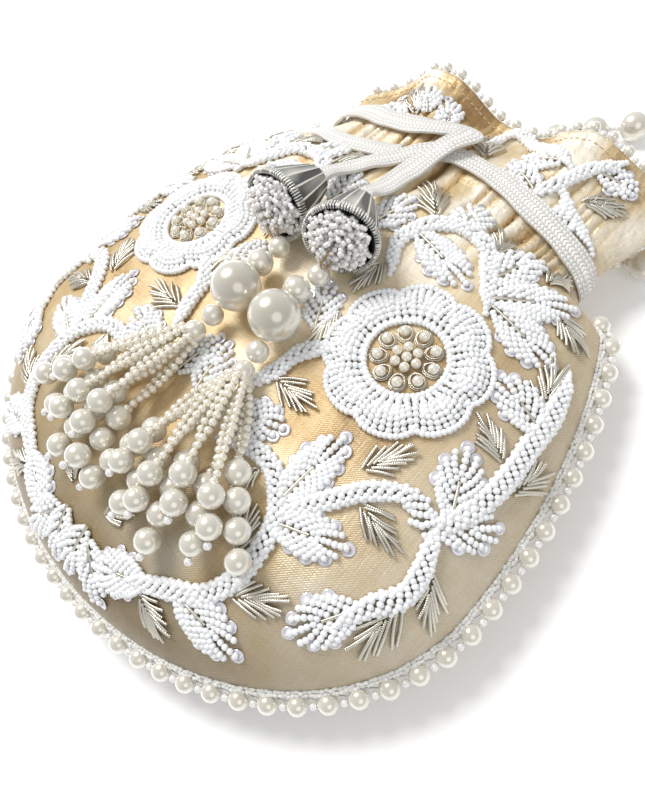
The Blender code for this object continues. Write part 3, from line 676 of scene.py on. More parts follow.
def pearl_finish(name="pearl", body=(0.78, 0.735, 0.62), rim=(1.0, 0.99, 0.95), scale=220.0):
    """Nacre over glass: warm in the middle, paler and clearer towards the rim, where the paler colour is
    painted reflection.
    """
    pearl = Finish(name, metallic=0.38, coat_weight=1.0, coat_roughness=0.08, coat_ior=1.85)
    rim_reflection_share = pearl.add("ShaderNodeLayerWeight", None, {"Blend": 0.42}, output="Facing")
    mottle = pearl.speckle(pearl.place(), scale, 2.0)
    middle = pearl.blend(mottle, rgba(*(0.9 * part for part in body)), rgba(*body))
    # Painted reflection: the colour pales towards the rim as the surface turns away from the view.
    pearl.feed("Base Color", pearl.blend((rim_reflection_share ** 1.15 * 1.1).limit(), middle, rgba(*rim)))
    pearl.feed("Roughness", 0.2 + mottle * 0.1)
    return pearl.material


def clear_finish():
    """Clear glass seed beads with a silvery lining."""
    clear = Finish("clear_seed_beads", coat_weight=1.0, coat_roughness=0.05, coat_ior=1.85, metallic=0.2)
    tint = clear.speckle(clear.place(), 900.0, 1.0)
    clear.feed("Base Color", clear.blend(tint, rgba(0.80, 0.77, 0.75), rgba(1.0, 0.995, 0.99)))
    clear.feed("Roughness", 0.08 + tint * 0.2)
    return clear.material


def metal_finish(name, dark, light, pitch):
    """A tight coil of fine wire, whose turns catch the light."""
    metal = Finish(name, metallic=1.0)
    along = metal.parts_of(metal.chart())[1]
    turns = (along * (2 * math.pi / pitch)).wave()
    tint = metal.speckle(metal.place(), 160.0, 2.0)
    metal.feed("Base Color", metal.blend(tint, rgba(*dark), rgba(*light)))
    metal.feed("Roughness", 0.22 + tint * 0.14)
    metal.relief(turns, 0.00008, 0.7)
    return metal.material


def zari_finish():
    """Metal thread wound in ribs over the cone: fine checks of the thread, dark on the crown of each panel as
    painted reflection of dark surroundings.
    """
    zari = Finish("silver_zari", metallic=0.85)
    u, v, _ = zari.parts_of(zari.chart())
    panel = (u * CONE_RIBS).fraction()
    seam = (((panel - 0.5).size() - 0.38) * 14).limit()
    darker_reflection_panels = (((u * CONE_RIBS / 2).fraction() - 0.5) * 40).limit()
    checks = ((u * (2 * math.pi * CONE_RIBS * 7)).wave() + (v * (2 * math.pi / 0.0008)).wave()) * 0.5
    patch = zari.speckle(zari.scaled(zari.chart(), (9, 60, 1)), 1.0, 1.0)
    # Painted reflection: the panels are darkened, every other one more, to stand in for dark surroundings
    # mirrored by the metal.
    shade = (darker_reflection_panels * 0.3 + (0.5 - patch) * 2.2 + 0.7).limit()
    dark = zari.blend(checks, rgba(0.012, 0.012, 0.013), rgba(0.13, 0.13, 0.125))
    pale = zari.blend(checks, rgba(0.52, 0.51, 0.46), rgba(1.0, 0.98, 0.90))
    body = zari.blend(shade, pale, dark)
    zari.feed("Base Color", zari.blend(seam, body, rgba(0.88, 0.87, 0.80)))
    zari.feed("Roughness", 0.26 + checks * 0.14)
    zari.relief(checks + seam * 2.5, 0.00012, 0.8)
    return zari.material


def braid_finish():
    """Flat satin braid: columns of chevron stitches, with painted shade in the low parts of the stitches and
    in the gutters between columns.
    """
    braid = Finish(
        "ivory_braid", sheen_weight=0.35, sheen_roughness=0.3, coat_weight=0.25, coat_roughness=0.3,
    )
    u, v, _ = braid.parts_of(braid.chart())
    column = (u * BRAID_COLUMNS).fraction() - 0.5
    chevron = (v / BRAID_STITCH + column.size() * 1.3).fraction()
    stitch = 1 - ((chevron - 0.5).size() * 2) ** 3
    gutter = 1 - (column.size() * 2) ** 4
    height = stitch * gutter
    fibres = braid.speckle(braid.scaled(braid.chart(), (40, 900, 1)), 1.0, 2.0)
    # Painted shade: darker where the stitch relief is low, in the gutters and between stitches.
    tone_and_painted_light = (height * 0.8 + fibres * 0.3).limit()
    braid.feed("Base Color", braid.blend(tone_and_painted_light, rgba(0.68, 0.65, 0.595), rgba(0.97, 0.96, 0.935)))
    braid.feed("Roughness", 0.28 + fibres * 0.2)
    braid.relief(height + fibres * 0.5, 0.00036, 0.9)
    return braid.material


def sequin_finish():
    sequin = Finish("clear_sequins", metallic=0.35, coat_weight=1.0, coat_roughness=0.05)
    tint = sequin.speckle(sequin.place(), 60.0, 1.0)
    sequin.feed("Base Color", sequin.blend(tint, rgba(0.66, 0.62, 0.68), rgba(0.86, 0.86, 0.90)))
    sequin.feed("Roughness", 0.12 + tint * 0.12)
    return sequin.material


def thread_finish(name, shade):
    thread = Finish(name, sheen_weight=0.3)
    twist = thread.speckle(thread.place(), 1500.0, 1.0)
    pale = rgba(*(min(1.0, 1.15 * part) for part in shade))
    thread.feed("Base Color", thread.blend(twist, rgba(*(0.85 * part for part in shade)), pale))
    thread.feed("Roughness", 0.5 + twist * 0.2)
    return thread.material


def geometry_tree(name, inputs):
    """A Geometry Nodes group with named inputs, and the graph that builds it."""
    tree = bpy.data.node_groups.new(name, "GeometryNodeTree")
    tree.interface.new_socket("Geometry", in_out="OUTPUT", socket_type="NodeSocketGeometry")
    tree.interface.new_socket("Geometry", in_out="INPUT", socket_type="NodeSocketGeometry")
    for label, kind in inputs:
        tree.interface.new_socket(label, in_out="INPUT", socket_type="NodeSocket" + kind)
    graph = Graph(tree)
    entry = graph.node("NodeGroupInput")
    exit_node = graph.node("NodeGroupOutput")
    given = {label: Value(graph, entry.outputs[label]) for label, _ in (("Geometry", ""), *inputs)}
    return tree, graph, given, exit_node


def finish_tree(graph, geometry, given, exit_node):
    real = graph.add("GeometryNodeRealizeInstances", None, {"Geometry": geometry})
    dressed = graph.add("GeometryNodeSetMaterial", None, {"Geometry": real, "Material": given["Material"]})
    graph.tree.links.new(dressed.socket, exit_node.inputs[0])


def threaded_beads():
    """Beads in line along each thread, a pitch apart, each a little unlike the next."""
    tree, graph, given, exit_node = geometry_tree("threaded beads", (
        ("Width", "Float"), ("Length", "Float"), ("Pitch", "Float"), ("Unevenness", "Float"),
        ("Segments", "Int"), ("Rings", "Int"), ("Seed", "Int"), ("Material", "Material"),
    ))
    curve = graph.add("GeometryNodeMeshToCurve", None, {"Mesh": given["Geometry"]})
    line = graph.add(
        "GeometryNodeResampleCurve", {"mode": "LENGTH"}, {"Curve": curve, "Length": given["Pitch"]}
    )
    tangent = graph.add("GeometryNodeInputTangent")
    turn = graph.add("FunctionNodeAlignRotationToVector", {"axis": "Z"}, {"Vector": tangent})
    low = graph.add("ShaderNodeCombineXYZ", None, {axis: given["Unevenness"] * -1 for axis in range(3)})
    high = graph.add("ShaderNodeCombineXYZ", None, {axis: given["Unevenness"] for axis in range(3)})
    shift = graph.add(
        "FunctionNodeRandomValue", {"data_type": "FLOAT_VECTOR"}, {0: low, 1: high, "Seed": given["Seed"]}
    )
    beads = graph.add("GeometryNodeMeshUVSphere", None, {
        "Segments": given["Segments"], "Rings": given["Rings"], "Radius": 0.5,
    })
    round_beads = graph.add("GeometryNodeSetShadeSmooth", None, {"Geometry": beads})
    spread_line = graph.add("GeometryNodeSetPosition", None, {"Geometry": line, "Offset": shift})
    growth = graph.add(
        "FunctionNodeRandomValue", {"data_type": "FLOAT"},
        {2: 0.92, 3: 1.08, "Seed": given["Seed"] + 1}, output=1,
    )
    size = graph.add("ShaderNodeCombineXYZ", None, {
        0: given["Width"] * growth, 1: given["Width"] * growth, 2: given["Length"],
    })
    placed = graph.add("GeometryNodeInstanceOnPoints", None, {
        "Points": spread_line, "Instance": round_beads, "Rotation": turn, "Scale": size,
    })
    finish_tree(graph, placed, given, exit_node)
    return tree


def set_pearls():
    """A pearl on each point, of the size that the point carries."""
    tree, graph, given, exit_node = geometry_tree("set pearls", (
        ("Segments", "Int"), ("Rings", "Int"), ("Material", "Material"),
    ))
    points = graph.add("GeometryNodeMeshToPoints", None, {"Mesh": given["Geometry"]})
    ball = graph.add("GeometryNodeMeshUVSphere", None, {
        "Segments": given["Segments"], "Rings": given["Rings"], "Radius": 0.5,
    })
    round_ball = graph.add("GeometryNodeSetShadeSmooth", None, {"Geometry": ball})
    size = graph.add("GeometryNodeInputNamedAttribute", {"data_type": "FLOAT"}, {"Name": "size"})
    placed = graph.add("GeometryNodeInstanceOnPoints", None, {
        "Points": points, "Instance": round_ball, "Scale": size,
    })
    finish_tree(graph, placed, given, exit_node)
    return tree


def drawn_tubes():
    """A closed tube along each line, with its length stored for the finish."""
    tree, graph, given, exit_node = geometry_tree("drawn tubes", (
        ("Width", "Float"), ("Sides", "Int"), ("Material", "Material"),
    ))
    curve = graph.add("GeometryNodeMeshToCurve", None, {"Mesh": given["Geometry"]})
    reach = graph.add("GeometryNodeSplineParameter", output="Length")
    marked = graph.add(
        "GeometryNodeStoreNamedAttribute", {"data_type": "FLOAT", "domain": "POINT"},
        {"Geometry": curve, "Name": "reach", "Value": reach},
    )
    ring = graph.add("GeometryNodeCurvePrimitiveCircle", None, {
        "Resolution": given["Sides"], "Radius": given["Width"] * 0.5,
    })
    tube = graph.add("GeometryNodeCurveToMesh", None, {
        "Curve": marked, "Profile Curve": ring, "Fill Caps": True,
    })
    smooth_tube = graph.add("GeometryNodeSetShadeSmooth", None, {"Geometry": tube})
    kept = graph.add(
        "GeometryNodeInputNamedAttribute", {"data_type": "FLOAT"}, {"Name": "reach"}
    )
    chart = graph.add("ShaderNodeCombineXYZ", None, {0: 0.0, 1: kept})
    charted = graph.add(
        "GeometryNodeStoreNamedAttribute", {"data_type": "FLOAT2", "domain": "CORNER"},
        {"Geometry": smooth_tube, "Name": "chart", "Value": chart},
    )
    finish_tree(graph, charted, given, exit_node)
    return tree


# Making pieces

BAG = bpy.data.collections.new("dressed potli bag")
bpy.context.scene.collection.children.link(BAG)


def put(name, mesh):
    piece = bpy.data.objects.new(name, mesh)
    BAG.objects.link(piece)
    return piece


def made(name, guide, tree, **values):
    """A plain mesh piece: the guide mesh, run through a tree with its inputs set."""
    worker = put(name + "_guide", guide)
    modifier = worker.modifiers.new("grown", "NODES")
    modifier.node_group = tree
    names = {
        item.name: item.identifier for item in tree.interface.items_tree
        if item.item_type == "SOCKET" and item.in_out == "INPUT"
    }
    for label, value in values.items():
        modifier[names[label]] = value
    bpy.context.view_layer.update()
    evaluated = worker.evaluated_get(bpy.context.evaluated_depsgraph_get())
    mesh = bpy.data.meshes.new_from_object(evaluated)
    bpy.data.objects.remove(worker)
    mesh.name = name
    return put(name, mesh)


def lines_mesh(name, lines):
    """A guide of open or closed threads. A line whose ends are the same point is closed."""
    places = []
    edges = []
    for line in lines:
        first = len(places)
        closed = len(line) > 3 and (line[0] - line[-1]).length < 1e-7
        used = line[:-1] if closed else line
        places += used
        edges += [(first + step, first + step + 1) for step in range(len(used) - 1)]
        if closed:
            edges.append((first + len(used) - 1, first))
    mesh = bpy.data.meshes.new(name)
    mesh.from_pydata(places, edges, [])
    return mesh


def beads(name, lines, material, width=SEED_WIDTH, pitch=SEED_PITCH, uneven=0.00007, seed=1,
          segments=8, rings=5, length=None):
    return made(
        name, lines_mesh(name, lines), THREADED_BEADS, Width=width, Length=length or 1.34 * pitch,
        Pitch=pitch, Unevenness=uneven, Segments=segments, Rings=rings, Seed=seed, Material=material,
    )


def pearls(name, centres, sizes, material, segments=24, rings=14):
    mesh = bpy.data.meshes.new(name)
    mesh.from_pydata(centres, [], [])
    mesh.attributes.new("size", "FLOAT", "POINT").data.foreach_set("value", sizes)
    return made(name, mesh, SET_PEARLS, Segments=segments, Rings=rings, Material=material)


def tubes(name, lines, material, width=TUBE_WIDTH, sides=6):
    return made(name, lines_mesh(name, lines), DRAWN_TUBES, Width=width, Sides=sides, Material=material)


def joined(name, pieces):
    """One object from several, with their materials."""
    form = bmesh.new()
    materials = []
    for piece in pieces:
        first = len(form.faces)
        form.from_mesh(piece.data)
        form.faces.ensure_lookup_table()
        slots = []
        for material in piece.data.materials:
            if material not in materials:
                materials.append(material)
            slots.append(materials.index(material))
        for face in form.faces[first:]:
            face.material_index = slots[face.material_index]
    mesh = bpy.data.meshes.new(name)
    form.to_mesh(mesh)
    form.free()
    for material in materials:
        mesh.materials.append(material)
    for piece in pieces:
        bpy.data.objects.remove(piece)
    return put(name, mesh)


def on_bag(piece, *nodes, slot=None):
    """The piece rides on the bag and stands for the nodes."""
    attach(piece, "root")
    if nodes:
        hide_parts(*nodes)
    return piece


def lofted(name, rings, material, charts, start=None, end=None, closed=False):
    """Skin rings of equal count, with a chart of coordinates for the finish."""
    form = bmesh.new()
    layer = form.loops.layers.uv.new("chart")
    rows = [[form.verts.new(point) for point in ring] for ring in rings]
    count = len(rows[0])
    for index in range(len(rows) - (0 if closed else 1)):
        low, high = rows[index], rows[(index + 1) % len(rows)]
        for step in range(count):
            after = (step + 1) % count
            face = form.faces.new((low[step], low[after], high[after], high[step]))
            face.smooth = True
            corners = ((index, step), (index, step + 1), (index + 1, step + 1), (index + 1, step))
            for loop, corner in zip(face.loops, corners):
                loop[layer].uv = charts(*corner)
    for row, index, tip in ((rows[0], 0, start), (rows[-1], len(rows) - 1, end)):
        if tip is None:
            continue
        point = form.verts.new(tip)
        for step in range(count):
            face = form.faces.new((row[step], row[(step + 1) % count], point))
            face.smooth = True
            for loop, turn in zip(face.loops, (step, step + 1, step + 0.5)):
                loop[layer].uv = charts(index, turn)
    bmesh.ops.recalc_face_normals(form, faces=form.faces)
    mesh = bpy.data.meshes.new(name)
    form.to_mesh(mesh)
    form.free()
    mesh.materials.append(material)
    return put(name, mesh)


def curve_through(points):
    """Points on a smooth curve through the given ones, eight to a stretch."""
    count = len(points)
    result = []
    for index in range(count - 1):
        near = [points[min(max(index + shift, 0), count - 1)] for shift in (-1, 0, 1, 2)]
        before, first, second, after = near
        for step in range(8):
            t = step / 8
            result.append(0.5 * (2 * first + (second - before) * t
                                 + (2 * before - 5 * first + 4 * second - after) * t ** 2
                                 + (3 * first - before - 3 * second + after) * t ** 3))
    result.append(points[-1])
    return result


def spaced(points, pitch, closed=False):
    """Points a pitch apart along a line, the pitch eased so that they fit it evenly."""
    line = list(points) + ([points[0]] if closed else [])
    lengths = [0.0]
    for first, second in zip(line, line[1:]):
        lengths.append(lengths[-1] + (second - first).length)
    count = max(1, round(lengths[-1] / pitch))
    result = []
    index = 0
    for step in range(count if closed else count + 1):
        target = lengths[-1] * step / count
        while index < len(line) - 2 and lengths[index + 1] < target:
            index += 1
        share = (target - lengths[index]) / max(lengths[index + 1] - lengths[index], 1e-9)
        result.append(line[index].lerp(line[index + 1], min(1.0, share)))
    return result


def length_of(points):
    return sum((second - first).length for first, second in zip(points, points[1:]))


# The cloth

def fine_stations():
    low = [-POUCH_BELOW * math.cos(math.radians(2 + 88 * step / 34)) for step in range(35)]
    pouch = [NECK_STARTS * share / 30 for share in range(1, 31)]
    neck = [mix(NECK_STARTS, HEM_AT, share / 62) for share in range(1, 63)]
    return low + pouch + neck


def silk_bag():
    """Pouch, gathers and frill as one skin, turned in at the hem."""
    stations = fine_stations()
    count = AROUND_FRONT + AROUND_BACK
    rings = [[cloth_point(step, station) for step in range(count)] for station in stations]
    inner = [HEM_AT - MOUTH_DEPTH * share / 12 for share in range(13)]
    rings += [[cloth_point(step, station, CLOTH_WALL) for step in range(count)] for station in inner]
    stations = stations + inner
    lengths = []
    for ring in rings:
        run = [0.0]
        for first, second in zip(ring, ring[1:] + ring[:1]):
            run.append(run[-1] + (second - first).length)
        middle = run[AROUND_FRONT // 2]
        lengths.append([value - middle for value in run])

    def charts(index, step):
        row = lengths[min(index, len(lengths) - 1)]
        return row[min(int(step), count)], stations[min(index, len(stations) - 1)]

    bottom = Vector((0, -POUCH_BELOW, SEAM_HEIGHT))
    floor_at = HEM_AT - MOUTH_DEPTH
    middle = (front_height(0, floor_at) + back_height(0, floor_at)) / 2
    floor = Vector((0, floor_at - 3 * CLOTH_WALL, middle))
    piece = lofted("silk_bag", rings, SILK, charts, start=bottom, end=floor)
    # Fold height of each point, which the silk turns into painted shade in the hollows and painted light on
    # the crests.
    folds = [0.5 + small_folds(step, station) / FOLD_RANGE for station in stations for step in range(count)]
    piece.data.attributes.new("fold", "FLOAT", "POINT").data.foreach_set("value", folds + [0.5, 0.5])
    return piece


class Cloth:
    """The finished cloth, asked for its surface over points of the plan."""

    def __init__(self, piece):
        mesh = piece.data
        places = [vertex.co for vertex in mesh.vertices]
        self.tree = BVHTree.FromPolygons(places, [tuple(face.vertices) for face in mesh.polygons])

    def over(self, x, y, lift):
        """The point at a distance above the upper cloth, x and y in metres."""
        place, normal, _, _ = self.tree.ray_cast(Vector((x, y, 0.2)), Vector((0, 0, -1)))
        if place is None:
            place, normal, _, _ = self.tree.find_nearest(Vector((x, y, SEAM_HEIGHT)))
        if normal.z < 0:
            normal = -normal
        return place + normal * lift


def gathered(x, y):
    """A point of the plan in metres, drawn in with the left side of the neck."""
    return x * side_share(x, y), y


def laid(points, lift, arch=0.0, count=7):
    """A thread laid on the cloth through points in millimetres, arched up in its middle."""
    vectors = [Vector((x, y, 0)) for x, y in points]
    line = spaced(vectors, max(0.5, length_of(vectors) / count))
    result = []
    for index, place in enumerate(line):
        share = index / max(1, len(line) - 1)
        height = lift + arch * math.sin(math.pi * share)
        result.append(CLOTH.over(*gathered(place.x * MM, place.y * MM), height))
    return result


def turned(direction, degrees):
    angle = math.radians(degrees)
    return Vector((
        direction.x * math.cos(angle) - direction.y * math.sin(angle),
        direction.x * math.sin(angle) + direction.y * math.cos(angle),
    ))


# Embroidery

def flower_beads(side, name):
    """Eight petals of bead rows inside a scalloped outline, round a ring of beads."""
    centre = Vector((side * FLOWER_X, FLOWER_Y)) / MM
    outer = FLOWER_RADIUS / MM
    wobble = random.Random(5 if side > 0 else 6)

    def reach(angle):
        lobe = abs(math.sin(FLOWER_PETALS * angle / 2)) ** 0.45
        return outer - PETAL_NOTCH * (1 - lobe)

    def at(radius, angle):
        return centre.x + radius * math.cos(angle), centre.y + radius * math.sin(angle)

    lines = []
    for petal in range(FLOWER_PETALS):
        for row in range(PETAL_ROWS):
            share = (row + 0.5) / PETAL_ROWS
            angle = 2 * math.pi * (petal + share) / FLOWER_PETALS
            lean = (share - 0.5) * 0.10
            first = at(PETAL_STARTS[row % 2], angle - lean)
            last = at(reach(angle) - PETAL_MARGIN - wobble.uniform(0, 0.35), angle + lean * 0.2)
            lines.append(laid((first, last), THREAD_LIFT, 1.3 * MM))
    ring = [at(EYE_RING, 2 * math.pi * step / 60) for step in range(60)]
    outline = [at(reach(2 * math.pi * step / 160), 2 * math.pi * step / 160) for step in range(160)]
    for round_line in (ring, outline):
        loop = [CLOTH.over(x * MM, y * MM, 0.9 * MM) for x, y in round_line]
        lines.append(loop + [loop[0].copy()])
    piece = beads("flower_beads_" + name, lines, SEED, seed=11)
    return on_bag(piece, "flower_" + name, slot="seed_bead")


def flower_eye(side, name):
    """Nine pearls in loops of coiled wire round seven bare ones."""
    centre = Vector((side * FLOWER_X, FLOWER_Y))
    centres = []
    sizes = []
    loops = []
    for index in range(EYE_PEARLS):
        angle = 2 * math.pi * (index + 0.3) / EYE_PEARLS
        out = Vector((math.cos(angle), math.sin(angle)))
        beside = Vector((-out.y, out.x))
        place = centre + out * EYE_PEARLS_AT * MM
        centres.append(CLOTH.over(place.x, place.y, EYE_LIFT))
        sizes.append(EYE_PEARL * MM)
        for ring, lift in ((1.0, 0.5), (0.86, 1.0)):
            loop = []
            for step in range(20):
                turn = 2 * math.pi * step / 20
                inward = 1.35 if math.cos(turn) < 0 else 1.0
                spot = place + out * 2.15 * MM * ring * inward * math.cos(turn)
                spot += beside * 2.2 * MM * ring * math.sin(turn)
                loop.append(CLOTH.over(spot.x, spot.y, lift * MM))
            loops.append(loop + [loop[0].copy()])
    for index in range(INNER_PEARLS):
        angle = 2 * math.pi * index / INNER_PEARLS
        place = centre + Vector((math.cos(angle), math.sin(angle))) * INNER_PEARLS_AT * MM
        centres.append(CLOTH.over(place.x, place.y, EYE_LIFT))
        sizes.append(INNER_PEARL * MM)
    centres.append(CLOTH.over(centre.x, centre.y, EYE_LIFT + 0.2 * MM))
    sizes.append(INNER_PEARL * MM)
    eye = pearls("flower_eye_pearls_" + name, centres, sizes, SMALL_PEARL_FINISH, 16, 10)
    wire = tubes("flower_eye_wire_" + name, loops, BULLION, width=EYE_WIRE * MM)
    return on_bag(joined("flower_eye_set_" + name, (eye, wire)), "flower_eye_" + name, slot="pearl")


def vine_rows(route, side, size):
    """Rows of beads that cross the vine at a slant, as the strands of a rope."""
    points = [Vector((side * x, y, 0)) for x, y in route]
    line = spaced(curve_through(points), ROPE_PITCH)
    rows = []
    last = len(line) - 1
    for index, place in enumerate(line):
        along = line[min(index + 1, last)] - line[max(index - 1, 0)]
        along = Vector((along.x, along.y)).normalized()
        beside = Vector((-along.y, along.x)) * side
        middle = Vector((place.x, place.y))
        ease = size * min(1.0, 0.5 + 0.2 * index, 0.5 + 0.2 * (last - index))
        outer, inner = [beside * wide * ease + along * far for wide, far in ROPE_SLANT]
        bends = (middle - outer, middle - inner, middle + inner, middle + outer)
        rows.append(laid(bends, 0.75 * MM, 0.95 * MM))
    return rows


def leaf_rows(base, tip, side, width):
    """Rows that fan forwards from the midrib on both sides of a leaf and close at its tip."""
    base = Vector((side * base[0], base[1]))
    tip = Vector((side * tip[0], tip[1]))
    length = (tip - base).length
    axis = (tip - base).normalized()
    rows = []
    ends = []
    count = max(4, round(length / LEAF_ROW_PITCH))
    for hand in (-1, 1):
        out = turned(axis, 90 * hand)
        for row in range(count):
            share = row / (count - 1)
            start = base + axis * length * (0.06 + 0.50 * share) + out * mix(1.15, 0.85, share)
            reach = math.sin(math.pi * (0.30 + 0.56 * share)) ** 0.8
            end = base + axis * length * (0.34 + 0.53 * share) + out * width * reach
            bend = (start + end) / 2 + out * 0.5
            rows.append(laid((start, bend, end), THREAD_LIFT, 0.45 * MM, 5))
            ends.append(end)
    rows.append(laid((base + axis * length * 0.63, tip - axis * 0.8), 0.9 * MM, 0.4 * MM, 5))
    ends.append(tip - axis * 0.3)
    return rows, ends, (base - axis * 0.5, base + axis * length * 0.52)


def sprig_lines(base, tip, chance):
    """Cut lengths of metal coil, laid like an ear of wheat."""
    base = Vector(base)
    tip = Vector(tip)
    length = (tip - base).length
    axis = (tip - base).normalized()
    lines = []
    for index in range(SPRIG_TUBES):
        hand = -1 if index % 2 else 1
        rise = index / SPRIG_TUBES
        start = base + axis * length * 0.52 * rise + turned(axis, 90 * hand) * 0.5 * (1 - rise)
        heading = turned(axis, hand * (mix(33, 6, rise) + chance.uniform(-4, 4)))
        run = length * mix(0.50, 0.46, rise) * chance.uniform(0.85, 1.12)
        end = start + heading * run
        bend = (start + end) / 2 + turned(heading, 90) * chance.uniform(-0.35, 0.35)
        lift = (0.45 + 0.5 * rise + chance.uniform(0, 0.2)) * MM
        lines.append(laid((start, bend, end), lift, 0.35 * MM, 5))
    return lines


def sequin_ring(centre, normal, radius):
    """Points of a circle round a sequin's middle."""
    beside = normal.orthogonal().normalized()
    ahead = normal.cross(beside)
    ring = []
    for step in range(SEQUIN_SIDES):
        angle = 2 * math.pi * step / SEQUIN_SIDES
        ring.append(centre + beside * radius * math.cos(angle) + ahead * radius * math.sin(angle))
    return ring


def sequins(name, places, chance):
    """Sequins tucked under the ends of the bead rows, each tilted its own way."""
    form = bmesh.new()
    for x, y in places:
        centre = CLOTH.over(x * MM, y * MM, 0.35 * MM)
        above = CLOTH.over(x * MM, y * MM, 1.35 * MM) - centre
        tilt = Vector((chance.uniform(-0.12, 0.12), chance.uniform(-0.12, 0.12), 0))
        normal = (above.normalized() + tilt).normalized()
        radius = SEQUIN_WIDTH / 2 * chance.uniform(0.9, 1.1)
        rings = []
        for height, share in ((-0.08, 0.25), (-0.08, 1.0), (0.08, 1.0), (0.14, 0.75), (0.08, 0.25)):
            ring = sequin_ring(centre + normal * height * MM, normal, radius * share)
            rings.append([form.verts.new(point) for point in ring])
        for low, high in zip(rings, rings[1:] + rings[:1]):
            for step in range(SEQUIN_SIDES):
                after = (step + 1) % SEQUIN_SIDES
                face = form.faces.new((low[step], low[after], high[after], high[step]))
                face.smooth = True
    bmesh.ops.recalc_face_normals(form, faces=form.faces)
    mesh = bpy.data.meshes.new(name)
    form.to_mesh(mesh)
    form.free()
    mesh.materials.append(SEQUIN)
    return put(name, mesh)


def spray_rows(vines, leaves, side, size, width, spacing):
    """Bead rows of vines with their leaves, the places of sequins and the wire midribs."""
    rows = []
    spots = []
    ribs = []
    for route in vines:
        rows += vine_rows(route, side, size)
    for base, tip in leaves:
        leaf, ends, rib = leaf_rows(base, tip, side, width)
        rows += leaf
        spots += [(end.x, end.y) for end in ends[::spacing]]
        ribs.append(laid(rib, MIDRIB_LIFT, 0.3 * MM, 4))
    return rows, spots, ribs


def embroidery(side, name):
    """Vines, leaves, sprigs and sequins of one half of the front."""
    chance = random.Random(21 + side)
    spots = []
    ribs = []
    rows_of = {}
    for spray in ("scroll", "arch", "centre"):
        rows_of[spray], ends, midribs = spray_rows(VINES[spray], LEAVES[spray], side, 1.0, LEAF_WIDTH, 2)
        spots += ends
        ribs += midribs
    scroll = beads("scroll_beads_" + name, rows_of["scroll"], SEED, seed=31)
    on_bag(scroll, "scroll_vine_" + name, slot="seed_bead")
    arch = beads("arch_beads_" + name, rows_of["arch"], SEED, seed=32)
    on_bag(arch, "arch_vine_" + name, slot="seed_bead")
    on_bag(beads("centre_beads_" + name, rows_of["centre"], SEED, seed=33), slot="seed_bead")
    lines = []
    for base, tip in SPRIGS:
        lines += sprig_lines((side * base[0], base[1]), (side * tip[0], tip[1]), chance)
    on_bag(tubes("metal_sprigs_" + name, lines + ribs, BULLION), slot="zari")
    on_bag(sequins("sequins_" + name, spots, chance), slot="clear_bead")


def frill_embroidery():
    """The pattern's upper end, which the drawn cord folds up on to the frill."""
    chance = random.Random(77)
    rows, spots, ribs = spray_rows(FRILL_VINES, FRILL_LEAVES, 1, FRILL_VINE_SIZE, FRILL_LEAF_WIDTH, 3)
    for base, tip in FRILL_SPRIGS:
        ribs += sprig_lines(base, tip, chance)
    on_bag(beads("frill_beads", rows, SEED, seed=35), slot="seed_bead")
    on_bag(tubes("frill_sprigs", ribs, BULLION), slot="zari")
    on_bag(sequins("frill_sequins", spots, chance), slot="clear_bead")


# Edgings

def seam_line(side, last_station):
    """The side seam from the bottom of the pouch up one side."""
    line = []
    for step in range(97):
        angle = math.pi / 2 * step / 48
        low = angle <= math.pi / 2
        station = -POUCH_BELOW * math.cos(angle) if low else (step - 48) / 48 * last_station
        x = side * half_width(side, station)
        line.append(Vector((x, station + neck_line(x, station), SEAM_HEIGHT)))
    return line


def rim_edging():
    """Pearls hung from a stitched picot all round the side seam."""
    seam = seam_line(1, RIM_ENDS_AT)[:0:-1] + seam_line(-1, RIM_ENDS_AT)

    def beyond(distance, drop):
        line = []
        for index, point in enumerate(seam):
            along = seam[min(index + 1, len(seam) - 1)] - seam[max(index - 1, 0)]
            normal = Vector((-along.y, along.x, 0)).normalized()
            line.append(point + normal * distance - Vector((0, 0, drop)))
        return line

    centres = spaced(beyond(RIM_OVERHANG, RIM_DROP), RIM_PEARL_PITCH)
    hung = pearls("hung", centres, [RIM_PEARL] * len(centres), PEARL, 20, 12)
    picot = []
    between = []
    inner = spaced(beyond(0.7 * MM, 0.2 * MM), RIM_PEARL_PITCH / 2)
    for index in range(len(centres) - 1):
        knot = inner[min(2 * index + 1, len(inner) - 1)]
        between.append(knot)
        picot.append([centres[index], knot, centres[index + 1]])
    between += spaced(beyond(RIM_OVERHANG + 0.4 * MM, RIM_DROP), RIM_PEARL_PITCH / 2)[1::2]
    clear = pearls("clear", between, [RIM_CLEAR_BEAD] * len(between), CLEAR, 12, 8)
    threads = tubes("threads", picot, WHITE_THREAD, width=0.6 * MM)
    lace = beads(
        "lace", [beyond(0.9 * MM, -0.3 * MM), beyond(0.1 * MM, -0.9 * MM)], WHITE_THREAD,
        width=LACE_BEAD, pitch=LACE_PITCH, uneven=0.00025, segments=6, rings=4,
    )
    piece = joined("rim_pearls", (hung, clear, threads, lace))
    return on_bag(piece, "rim_edging", slot="pearl")


